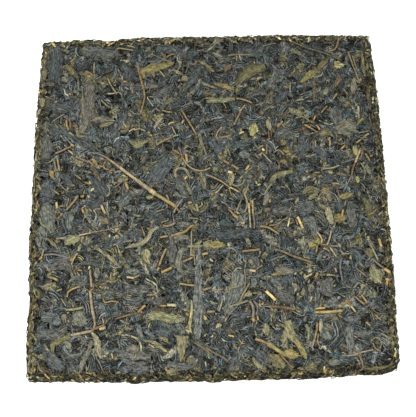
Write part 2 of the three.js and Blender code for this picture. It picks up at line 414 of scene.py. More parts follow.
bed_shape = rod_shape("bed_scrap", 3, 3, blunt)
shred_shape = rod_shape("shred", 3, 4, blunt)
scrap_shape = rod_shape("scrap", 6, 3, blunt)
stem_shape = rod_shape("stem", 8, 9, even)
strip_shape = rod_shape("strip", 3, 9, blunt)
leaf_shape = blade_shape("leaf", 9, pointed)
whole_leaf_shape = blade_shape("whole_leaf", 14, even)

# %% [markdown]
# ## Many copies in one mesh
#
# Thousands of separate objects would be slow, so all leaves of a kind are one mesh, made from
# arrays. Each leaf is a copy of a shape that is stretched, bent sideways, twisted about its
# own length, crumpled and tipped. A rolled leaf shows as folds side by side, so it is laid as
# several strips that bend together. Two attributes go with each leaf: its shade, with painted
# light in it, a painted shade that mostly darkens its rims and a painted highlight along a
# stem's crest, and its grain, which says how far along and across the leaf each point lies.
# A point that would leave the imported brick's box is held at its edge.

# %% Laying copies of a shape
rng = np.random.default_rng(7)
SWAY_SHARE = 0.6
TIP_SPREAD = 0.03
ARCH_SPREAD = 0.03


def stretch(shape, size, ragged, crumple):
    """Copies of the shape at their sizes: along, across and over, one row for each leaf."""
    length, width, thick = size
    x, y, z = shape["points"].T
    ring, column = shape["ring"], shape["column"]
    grid = (len(length), ring.max() + 1, column.max() + 1)
    uneven = 1 + ragged * rng.uniform(-1, 1, grid)
    creases = crumple * rng.uniform(-1, 1, grid)
    across = y * width[:, None] * uneven[:, ring, column]
    over = z * thick[:, None] + creases[:, ring, column]
    return x * length[:, None], across, over, x


def drawn(low, high, count, folds=1):
    """Random values, one for each leaf, repeated for the folds that lie side by side in it."""
    return rng.uniform(low, high, count // folds).repeat(folds)


def lay_loose(shape, wrap, spot, angle, size, lift, kind, folds=1):
    """Copies laid at spots of the sheet. Returns points, and how each lies along its leaf."""
    length, width = size[:2]
    along, across, over, x = stretch(shape, size, kind["ragged"], kind["crumple"])
    count = len(length)
    bend, roll = kind["bend"], kind["roll"]
    curve = drawn(-bend, bend, count, folds)[:, None]
    sway = drawn(-bend, bend, count, folds)[:, None] * SWAY_SHARE
    across = across + ((np.arange(count) % folds - (folds - 1) / 2) * width)[:, None]
    side = length[:, None] * (curve * x**2 + sway * np.sin(2 * math.pi * x) / (2 * math.pi))
    slope = np.arctan(2 * curve * x + sway * np.cos(2 * math.pi * x))
    turn = drawn(-roll, roll, count, folds)[:, None]
    turn = turn + drawn(-roll, roll, count, folds)[:, None] * x
    flat = across * np.cos(turn) - over * np.sin(turn)
    high = across * np.sin(turn) + over * np.cos(turn)
    run = along - flat * np.sin(slope)
    off = side + flat * np.cos(slope)
    cosine, sine = np.cos(angle)[:, None], np.sin(angle)[:, None]
    u = spot[0][:, None] + run * cosine - off * sine
    v = spot[1][:, None] + run * sine + off * cosine
    tip = rng.normal(0, TIP_SPREAD, count)[:, None] * along
    arch = rng.normal(0, ARCH_SPREAD, count)[:, None] * length[:, None] * x**2
    points = wrap(u, v, lift[:, None] + tip + arch + high + relief(u, v))
    index = np.broadcast_to(np.arange(count)[:, None], along.shape)
    return points, np.stack([along, across, index], -1)


# %% [markdown]
# The batches of a kind are then joined and written as one mesh, with Blender's fast array
# calls. Its corners and faces are those of the shape, counted on from copy to copy.

# %% Joining the copies
BOX_MARGIN = 0.02


def paint_rim_and_crest_light(shape, shade, rim_shading, crest):
    """Each leaf's shade at its points, with painted light at its rims and along its crest."""
    rim = np.abs(2 * shape["column"] / shape["column"].max() - 1) ** 2
    drawn_rim_shading = rng.uniform(*rim_shading, len(shade))
    # Painted light: a rim below zero gets a painted shade, where shadow falls under its edge, above
    # zero a painted highlight, where it curls up. The crest gets a painted highlight.
    tone = 1 + crest + np.outer(drawn_rim_shading - crest, rim)
    return (shade[:, None] * tone[:, :, None]).reshape(-1, 3)


def join_batches(batches, rim_shading, crest):
    """All points, face corners, face starts, shades and grains of the batches."""
    places, corners, starts, shades, grains = [], [], [], [], []
    point_count = corner_count = 0
    for shape, points, grain, shade in batches:
        count, size = points.shape[:2]
        step = len(shape["corners"])
        turns = np.arange(count)[:, None]
        corners.append((shape["corners"] + turns * size + point_count).ravel())
        starts.append((shape["starts"] + turns * step + corner_count).ravel())
        point_count += count * size
        corner_count += count * step
        places.append(points.reshape(-1, 3))
        grains.append(grain.reshape(-1, 3))
        shades.append(paint_rim_and_crest_light(shape, shade, rim_shading, crest))
    return map(np.concatenate, (places, corners, starts, shades, grains))


def held_in_box(name, places):
    """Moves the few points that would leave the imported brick's box back to its edge."""
    low = np.array(brick_low) / MM + BOX_MARGIN
    high = np.array(brick_high) / MM - BOX_MARGIN
    over = ((places < low) | (places > high)).any(1).mean()
    print(name, "points held back by the box:", round(over, 4))
    return np.clip(places, low, high)


def add_attribute(mesh, name, kind, field, values):
    attribute = mesh.attributes.new(name, kind, "POINT")
    attribute.data.foreach_set(field, values.astype(np.float32).ravel())


def write_mesh(name, batches, rim_shading, crest, smooth):
    """One object from batches of copies, each with its shades and grain."""
    places, corners, starts, shades, grains = join_batches(batches, rim_shading, crest)
    places = held_in_box(name, places)
    mesh = bpy.data.meshes.new(name)
    mesh.vertices.add(len(places))
    mesh.vertices.foreach_set("co", (places * MM).astype(np.float32).ravel())
    mesh.loops.add(len(corners))
    mesh.loops.foreach_set("vertex_index", corners.astype(np.int32))
    mesh.polygons.add(len(starts))
    mesh.polygons.foreach_set("loop_start", starts.astype(np.int32))
    mesh.update(calc_edges=True)
    add_attribute(mesh, "shade", "FLOAT_COLOR", "color", np.c_[shades, np.ones(len(shades))])
    add_attribute(mesh, "grain", "FLOAT_VECTOR", "vector", grains)
    mesh.polygons.foreach_set("use_smooth", np.full(len(starts), smooth))
    mesh.validate()
    ob = bpy.data.objects.new(name, mesh)
    bpy.context.scene.collection.objects.link(ob)
    triangles = int((np.diff(np.append(starts, len(corners))) - 2).sum())
    print(name, "has", triangles, "triangles")
    return ob


# %% [markdown]
# ## Shades of dry leaf
#
# Pressed leaf isn't one colour. Fermented leaf is slate dark, older leaf is olive or faded
# yellow-green, and stems run from gold to brown and plum. The bluish tint of the slate and
# blue shades is a painted sheen, the sky's reflection on dark leaf. The shades are named here
# once, as they look in daylight, and every leaf draws a little to either side.
# What lies proud of the rest catches more light, so the placed leaves and the stems get a
# lower gain than the loose layers under them.

# %% Named shades
def daylight(red, green, blue):
    """A colour as it looks, on a scale to 255, as the linear colour that a shader takes."""
    parts = np.array([red, green, blue]) / 255
    return np.where(parts <= 0.04045, parts / 12.92, ((parts + 0.055) / 1.055) ** 2.4)


SHADES = {
    "pearl": daylight(208, 185, 125),
    "cream": daylight(173, 154, 114),
    "amber": daylight(166, 140, 88),
    "flame": daylight(156, 127, 82),
    "straw": daylight(145, 130, 105),
    "gold": daylight(140, 122, 80),
    "tan": daylight(134, 119, 87),
    "orange": daylight(134, 113, 77),
    "rust": daylight(114, 91, 64),
    "brown": daylight(114, 103, 81),
    "plum": daylight(114, 108, 98),
    "bone": daylight(143, 135, 108),
    "fresh": daylight(161, 157, 100),
    "lime": daylight(140, 135, 97),
    "ochre": daylight(133, 123, 76),
    "olive": daylight(126, 121, 90),
    "moss": daylight(104, 99, 68),
    "drab": daylight(114, 111, 95),
    "mist": daylight(109, 112, 103),
    "stone": daylight(94, 95, 89),
    "umber": daylight(99, 90, 70),
    # The bluish tint of slate and blue is a painted sheen over their own dark grey.
    "slate": daylight(80, 85, 84),
    "blue": daylight(74, 87, 89),
    "ash": daylight(98, 101, 98),
    "char": daylight(43, 45, 40),
}
SHADE_GAIN = 1.01
LEAF_GAIN = 0.76
STEM_GAIN = 0.6
HUE_SPREAD = 0.02


def draw_shades(names, odds, count, spread, folds=1, gain=SHADE_GAIN):
    """Shades for that many leaves, drawn by their odds and made lighter or darker."""
    table = np.array([SHADES[name] for name in names])
    odds = np.array(odds, float) / sum(odds)
    rows = table[rng.choice(len(names), count // folds, p=odds).repeat(folds)]
    level = np.exp(rng.normal(0, spread, (count, 1)))
    hue = 1 + rng.normal(0, HUE_SPREAD, (count, 3))
    return np.clip(rows * level * hue * gain, 0, 1)


print("shades:", len(SHADES))

# %% [markdown]
# ## The finish of dry leaf
#
# Dry leaf is matt with a faint waxy sheen. Fibres run along it, its folds get a painted
# highlight along their ridges, and thin cracks between the fibres get a painted shade. One set
# of noises does for all kinds. They are drawn out along the grain attribute, so the fibres
# follow every bend, and together they drive colour, roughness and bump.

# %% Helpers for material nodes
def add_node(tree, kind, **inputs):
    node = tree.nodes.new(kind)
    for name, value in inputs.items():
        node.inputs[name].default_value = value
    return node


def feed(tree, node, values):
    """Gives the node's inputs, in their order, a fixed value or what another node puts out."""
    for socket, value in zip(node.inputs, values):
        if isinstance(value, bpy.types.NodeSocket):
            tree.links.new(value, socket)
        else:
            socket.default_value = value


def add_maths(tree, operation, *values):
    node = tree.nodes.new("ShaderNodeMath")
    node.operation = operation
    feed(tree, node, values)
    return node.outputs["Value"]


def add_vector_maths(tree, operation, *values):
    node = tree.nodes.new("ShaderNodeVectorMath")
    node.operation = operation
    feed(tree, node, values)
    return node.outputs["Vector"]


def add_remap(tree, value, source, target):
    """Maps a value from one range to another, and holds it in the second one."""
    node = tree.nodes.new("ShaderNodeMapRange")
    feed(tree, node, (value, *source, *target))
    return node.outputs["Result"]


def read_attribute(tree, name):
    node = tree.nodes.new("ShaderNodeAttribute")
    node.attribute_name = name
    return node.outputs["Vector"]


def add_noise(tree, place, noise):
    node = add_node(tree, "ShaderNodeTexNoise", Scale=noise["scale"], Detail=noise["detail"],
                    Roughness=noise["roughness"], Distortion=noise["twist"])
    tree.links.new(place, node.inputs["Vector"])
    return node.outputs["Fac"]


# %% [markdown]
# Each noise is told how fast it changes along a leaf, across it and from one leaf to the
# next. `fineness` makes all of them finer, and `drawn_out` stretches them along the leaf.
# Blotches are the one noise that runs across many leaves, so they sit in object space.

# %% The finish itself
FIBRES = {"run": (0.4, 1.15, 7.31), "scale": 1.0, "detail": 3.0, "roughness": 0.6, "twist": 0.0}
FOLDS = {"run": (0.3, 0.75, 3.17), "scale": 1.0, "detail": 1.5, "roughness": 0.5, "twist": 0.7}
CRACKS = {"run": (0.7, 1.3, 5.13), "scale": 1.0, "detail": 1.0, "roughness": 0.5, "twist": 0.3}
BLOTCHES = {"scale": 420.0, "detail": 2.0, "roughness": 0.5, "twist": 0.0}
RIDGE_WIDTH = 0.05
# Pale colour of the painted highlight on the ridges of the folds.
RIDGE_HIGHLIGHT_COLOUR = (0.05, 0.05, 0.038)
CRACK_EDGE = (0.4, 0.46)
TWO_NOISES = (0.65, 1.35)
BLOTCH_RANGE = (0.3, 0.7)
GLOSSIER, DULLER = 0.1, 0.15
LEAF_SPECULAR = 0.06


def along_leaf(tree, noise, fineness, drawn_out):
    """A noise that follows the leaf's grain and is another one on every leaf."""
    along, across, other = noise["run"]
    run = (fineness * along / drawn_out, fineness * across, other)
    place = add_vector_maths(tree, "MULTIPLY", read_attribute(tree, "grain"), run)
    return add_noise(tree, place, noise)


def leaf_material(name, fineness, contrast, ridge_highlight, crack_painted_shade, roughness, bump_depth,
                  drawn_out):
    """Dry leaf: fibres, folds and cracks change its colour, its roughness and its surface."""
    material = bpy.data.materials.new(name)
    material.use_nodes = True
    tree = material.node_tree
    shader = tree.nodes["Principled BSDF"]
    shader.inputs["Specular IOR Level"].default_value = LEAF_SPECULAR
    fibres = along_leaf(tree, FIBRES, fineness, drawn_out)
    folds = along_leaf(tree, FOLDS, fineness, drawn_out)
    cracks = along_leaf(tree, CRACKS, fineness, drawn_out)
    place = tree.nodes.new("ShaderNodeTexCoord")
    blotches = add_noise(tree, place.outputs["Object"], BLOTCHES)

    # A fold's ridge is where its noise passes the middle.
    off_ridge = add_maths(tree, "ABSOLUTE", add_maths(tree, "SUBTRACT", folds, 0.5))
    ridge = add_remap(tree, off_ridge, (0, RIDGE_WIDTH), (1, 0))
    streaks = add_maths(tree, "ADD", fibres, blotches)
    level = add_remap(tree, streaks, TWO_NOISES, (1 - contrast, 1 + contrast))
    # Painted highlight: the ridges of the folds are drawn lighter, where they catch the light.
    level = add_maths(tree, "MULTIPLY_ADD", ridge, ridge_highlight, level)
    # Painted shade: the cracks between the fibres are drawn darker.
    uncracked = add_remap(tree, cracks, CRACK_EDGE, (crack_painted_shade, 1))
    level = add_maths(tree, "MULTIPLY", level, uncracked)

    tint = add_vector_maths(tree, "MULTIPLY", read_attribute(tree, "shade"), level)
    # The ridges also get the pale painted highlight colour added.
    colour = add_vector_maths(tree, "MULTIPLY_ADD", ridge, RIDGE_HIGHLIGHT_COLOUR, tint)
    tree.links.new(colour, shader.inputs["Base Color"])
    sheen = add_remap(tree, blotches, BLOTCH_RANGE, (roughness - GLOSSIER, roughness + DULLER))
    tree.links.new(sheen, shader.inputs["Roughness"])
    bump = add_node(tree, "ShaderNodeBump", Strength=1.0, Distance=bump_depth * MM)
    tree.links.new(add_maths(tree, "ADD", fibres, level), bump.inputs["Height"])
    tree.links.new(bump.outputs["Normal"], shader.inputs["Normal"])
    return material


# %% [markdown]
# Fermented leaf gets the darkest painted shade in its cracks and the brightest painted
# highlight on its folds. The folded leaves are finer and softer, as one sees into their
# pleats. Olive leaf is drier and duller, and broad leaves have longer fibres. Stems have
# bark: fine ribs, and hardly a crack.

# %% Six finishes
dark_leaf = leaf_material(
    "dark_leaf", fineness=1.1, contrast=1.0, ridge_highlight=0.6, crack_painted_shade=0.15,
    roughness=0.55, bump_depth=0.6, drawn_out=2.0,
)
folded_leaf = leaf_material(
    "folded_leaf", fineness=1.4, contrast=0.6, ridge_highlight=0.4, crack_painted_shade=0.5,
    roughness=0.55, bump_depth=0.3, drawn_out=2.0,
)
olive_leaf = leaf_material(
    "olive_leaf", fineness=1.2, contrast=0.7, ridge_highlight=0.3, crack_painted_shade=0.3,
    roughness=0.65, bump_depth=0.6, drawn_out=1.0,
)
broad_leaf = leaf_material(
    "broad_leaf", fineness=1.3, contrast=0.5, ridge_highlight=0.3, crack_painted_shade=0.5,
    roughness=0.6, bump_depth=0.5, drawn_out=2.5,
)
broad_dark_leaf = leaf_material(
    "broad_dark_leaf", fineness=1.3, contrast=0.55, ridge_highlight=0.35, crack_painted_shade=0.35,
    roughness=0.55, bump_depth=0.6, drawn_out=2.0,
)
stem_bark = leaf_material(
    "stem_bark", fineness=2.4, contrast=0.65, ridge_highlight=0.2, crack_painted_shade=0.8,
    roughness=0.6, bump_depth=0.2, drawn_out=1.0,
)
print("finishes:", len(bpy.data.materials))


def finish_piece(ob, material):
    ob.data.materials.append(material)
    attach(ob, "root")
    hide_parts("tea_brick")


def make_piece(name, material, batches, rim_shading, crest=0.0, smooth=False):
    finish_piece(write_mesh(name, batches, rim_shading, crest, smooth), material)


# %% [markdown]
# ## The core
#
# Between the leaves one looks down into gaps that are dark with shade. A core closes them, not
# quite two millimetres under the face and a little over one inside the sides, and its dark
# colour is a painted shade. It starts as a cube at the slab's size, gets rounded edges and a
# fine grid, and is roughened by a cloud texture, so that the gaps have an uneven ground.

# %% The dark core
CORE_DEPTH = 1.9
CORE_SIDE_DEPTH = 1.2
CORE_BEVEL = 2.2
CORE_BEVEL_CUTS = 3
CORE_GRID_CUTS = 50
CORE_LONG_EDGE = 100
CLOUD_SIZE = 3
CORE_ROUGHNESS = 0.9
CLOUD_MIDDLE = 0.7
# Painted shade: the core's colour stands for the shade in the gaps between the leaves.
CORE_SHADE_COLOUR = daylight(30, 30, 26)
CORE_DULLNESS = 0.9


def add_core():
    ob = fresh_object(bpy.ops.mesh.primitive_cube_add, size=1, location=(0, 0, 0))
    ob.name = "leaf_core"
    across = SIDE - 2 * CORE_SIDE_DEPTH
    size = [across, across, THICKNESS - 2 * CORE_DEPTH]
    bpy.ops.object.mode_set(mode="EDIT")
    bpy.ops.mesh.select_all(action="SELECT")
    bpy.ops.transform.resize(value=[value * MM for value in size])
    bpy.ops.transform.translate(value=(0, 0, THICKNESS / 2 * MM))
    bpy.ops.mesh.bevel(offset=CORE_BEVEL * MM, segments=CORE_BEVEL_CUTS, affect="EDGES")
    select_long_edges([X, Y], CORE_LONG_EDGE * MM)
    bpy.ops.mesh.subdivide(number_cuts=CORE_GRID_CUTS)
    bpy.ops.object.mode_set(mode="OBJECT")
    clouds = bpy.data.textures.new("leaf_clouds", "CLOUDS")
    clouds.noise_scale = CLOUD_SIZE * MM
    rough = ob.modifiers.new("rough", "DISPLACE")
    rough.texture = clouds
    rough.texture_coords = "LOCAL"
    rough.strength = CORE_ROUGHNESS * MM
    rough.mid_level = CLOUD_MIDDLE
    bpy.ops.object.modifier_apply(modifier="rough")
    places = np.empty(len(ob.data.vertices) * 3, np.float32)
    ob.data.vertices.foreach_get("co", places)
    x, y, z = places.reshape(-1, 3).T / MM
    ob.data.vertices.foreach_set("co", (bulged(x, y, z) * MM).astype(np.float32).ravel())
    print("core faces:", len(ob.data.polygons))
    return ob


core_painted_shade = plain_material("core_painted_shade", CORE_SHADE_COLOUR, CORE_DULLNESS)
finish_piece(add_core(), core_painted_shade)

# %% [markdown]
# ## Leaf scraps and shreds of the face
#
# The face is built like the real one, from below: a bed of dark scraps, then larger ones
# pressed flat over it in every direction, then whole blades, thin shreds and rolled leaves.
# A rolled leaf is five folds side by side, with every other one lower, like the pleats that
# the press makes, and darker with a painted shade in the pleat. A jittered grid spreads them
# all evenly. The shades carry painted light too: a painted shade in the groove inside the
# rim, where shadow falls, and a slope from lighter in front and to the left to darker towards
# the back and the right, as the light falls and flat leaves catch its sheen.

# %% Spreading leaves evenly
def jittered(columns, rows, width, height):
    """Evenly spread random spots over a sheet of this size, with its middle at 0, 0."""
    column, row = np.meshgrid(np.arange(columns), np.arange(rows))
    count = rows * columns
    u = (column.ravel() + rng.uniform(0, 1, count)) / columns - 0.5
    v = (row.ravel() + rng.uniform(0, 1, count)) / rows - 0.5
    order = rng.permutation(count)
    return (u * width)[order], (v * height)[order]


# Painted shade along the groove inside the rim, where shadow falls: its place, width and how dark it
# is.
RIM_GROOVE_SHADE = {"place": 94, "width": 3, "dark": 0.3}
# Painted light: how fast the shades are drawn darker towards the right and the back.
PAINTED_SHADE_RIGHT = 0.0006
PAINTED_SHADE_BACK = 0.0015
FACE_REACH = FLAT - 1.5
PLEAT_DEPTH = 0.2
# Painted shade: how much darker the lower folds of a rolled leaf are drawn, in the pleat.
PLEAT_SHADE = 0.65
FOLD_SHORTEST = 0.6


def painted_light_lean(u, v):
    """Painted light: the leaf drawn lighter in front and to the left, darker at the back and right."""
    return 1 - (PAINTED_SHADE_RIGHT * u + PAINTED_SHADE_BACK * v)


def painted_light_tint(u, v):
    """The painted light of the lean, and a painted shade along the groove inside the rim."""
    off_groove = (np.maximum(np.abs(u), np.abs(v)) - RIM_GROOVE_SHADE["place"]) / RIM_GROOVE_SHADE["width"]
    groove = 1 - RIM_GROOVE_SHADE["dark"] * np.exp(-(off_groove**2))
    return (groove * painted_light_lean(u, v))[:, None]


def face_batch(shape, wrap, rows, kind, levels, shades, spread, folds=1):
    """A layer of loose leaves over the face or the underside, each of one or more folds."""
    u, v = jittered(rows, rows, 2 * FACE_REACH, 2 * FACE_REACH)
    u, v = u.repeat(folds), v.repeat(folds)
    count = len(u)
    size = [drawn(*limits, count, folds) for limits in kind["size"]]
    angle = drawn(0, math.pi * 2, count, folds)
    pleat = np.arange(count) % folds % 2
    size[0] *= rng.uniform(FOLD_SHORTEST if folds > 1 else 1, 1, count)
    lift = drawn(*levels, count, folds) - PLEAT_DEPTH * pleat
    points, grain = lay_loose(shape, wrap, (u, v), angle, size, lift, kind, folds)
    # Painted light over the face, and painted shade in the groove inside the rim.
    colours = draw_shades(*shades, count, spread, folds) * painted_light_tint(u, v)
    # Painted shade in the lower folds.
    colours *= (1 - PLEAT_SHADE * pleat)[:, None]
    return shape, points, grain, colours


# %% [markdown]
# Each kind of loose leaf has its limits of size and shape, and each layer draws its shades
# from a palette: the darkest at the bottom, dark partly by their own colour and partly by a
# painted shade for their depth, faded and bright ones for the few that stand out.

# %% Kinds of loose leaf and their palettes
# Painted light at the rims of a leaf, against its middle: below zero a painted shade, where
# shadow falls under the edge, above zero a painted highlight, where the rim curls up.
FLAT_RIM_SHADING = (-0.7, 0.1)
FOLD_RIM_SHADING = (-0.6, -0.1)
STEM_RIM_SHADING = (-0.6, -0.3)
BROAD_RIM_SHADING = (-0.5, 0.05)


def loose_kind(length, width, thick, bend, roll, ragged, crumple):
    """Limits of its sizes in millimetres, and how much it bends, rolls, frays and crumples."""
    return {"size": (length, width, thick), "bend": bend, "roll": roll, "ragged": ragged,
            "crumple": crumple}


SCRAP = loose_kind((5, 12), (2.0, 4.6), (0.3, 0.5), 0.4, 0.2, 0.45, 0.26)
SHRED = loose_kind((4, 12), (0.5, 1.3), (0.3, 0.6), 1.3, 0.5, 0.3, 0.1)
FOLD = loose_kind((3.5, 10), (0.42, 0.8), (0.3, 0.6), 1.0, 0.2, 0.3, 0.1)
LEAF = loose_kind((8, 19), (2.4, 5.4), (0.25, 0.4), 0.45, 0.12, 0.3, 0.2)
CRUMB = loose_kind((1.0, 2.8), (0.6, 1.4), (0.3, 0.7), 0.5, 0.5, 0.3, 0.1)
BLADE = loose_kind((7, 16), (3.2, 6.5), (0.25, 0.4), 0.35, 0.1, 0.3, 0.24)

# The bottom layer is dark partly by its own colour and partly by a painted shade for its depth.
DEEP_SHADED = (("char", "slate", "blue", "umber"), (6, 2, 1, 0.6))
DARK = (("slate", "blue", "char", "ash", "drab", "umber"), (5, 2.4, 2, 2, 1.4, 0.3))
MIXED = (("slate", "blue", "char", "ash", "drab", "olive", "umber", "tan"),
         (5, 3, 2.8, 3, 1.4, 0.8, 0.5, 0.3))
FOLDED = (("slate", "blue", "char", "ash", "drab", "olive", "umber"), (6, 3, 2, 4, 1.4, 0.7, 0.5))
FADED = (("olive", "drab", "moss", "ochre", "umber"), (3, 4, 3, 0.4, 2))
BRIGHT = (("gold", "tan", "orange", "ochre", "straw"), (2, 4, 1, 2, 1))
print("palettes:", len((DEEP_SHADED, DARK, MIXED, FOLDED, FADED, BRIGHT)))

# %% [markdown]
# Now the layers, from the lowest up. Each gets the number of rows of its grid, a kind, the
# heights it lies between, a palette, and how far its shades spread.

# %% Laying the face
make_piece("dark_bed", dark_leaf, [
    face_batch(bed_shape, wrap_face, 42, SCRAP, (-2.1, -1.1), DEEP_SHADED, 0.16),
], FLAT_RIM_SHADING)
make_piece("face_scraps", dark_leaf, [
    face_batch(scrap_shape, wrap_face, 34, SCRAP, (-1.2, -0.3), DARK, 0.24),
    face_batch(shred_shape, wrap_face, 30, SCRAP, (-1.4, -0.5), DARK, 0.24),
], FLAT_RIM_SHADING)
make_piece("face_blades", dark_leaf, [
    face_batch(leaf_shape, wrap_face, 11, BLADE, (-0.9, -0.4), DARK, 0.16),
    face_batch(leaf_shape, wrap_face, 10, LEAF, (-0.8, -0.2), DARK, 0.16),
], FLAT_RIM_SHADING)
make_piece("face_shreds", dark_leaf, [
    face_batch(shred_shape, wrap_face, 52, SHRED, (-1.2, 0.1), MIXED, 0.3),
], FOLD_RIM_SHADING)
make_piece("folded_leaves", folded_leaf, [
    face_batch(bed_shape, wrap_face, 37, FOLD, (-0.75, 0.15), FOLDED, 0.4, folds=5),
], FOLD_RIM_SHADING)
make_piece("olive_flakes", olive_leaf, [
    face_batch(leaf_shape, wrap_face, 8, LEAF, (-0.8, -0.2), FADED, 0.16),
    face_batch(scrap_shape, wrap_face, 13, SCRAP, (-0.8, -0.15), FADED, 0.16),
    face_batch(shred_shape, wrap_face, 22, SHRED, (-0.8, 0.0), FADED, 0.2),
], FLAT_RIM_SHADING)
make_piece("golden_bits", stem_bark, [
    face_batch(scrap_shape, wrap_face, 18, CRUMB, (-1.0, -0.05), BRIGHT, 0.25),
    face_batch(shred_shape, wrap_face, 10, SHRED, (-1.0, -0.2), BRIGHT, 0.2),
], STEM_RIM_SHADING)
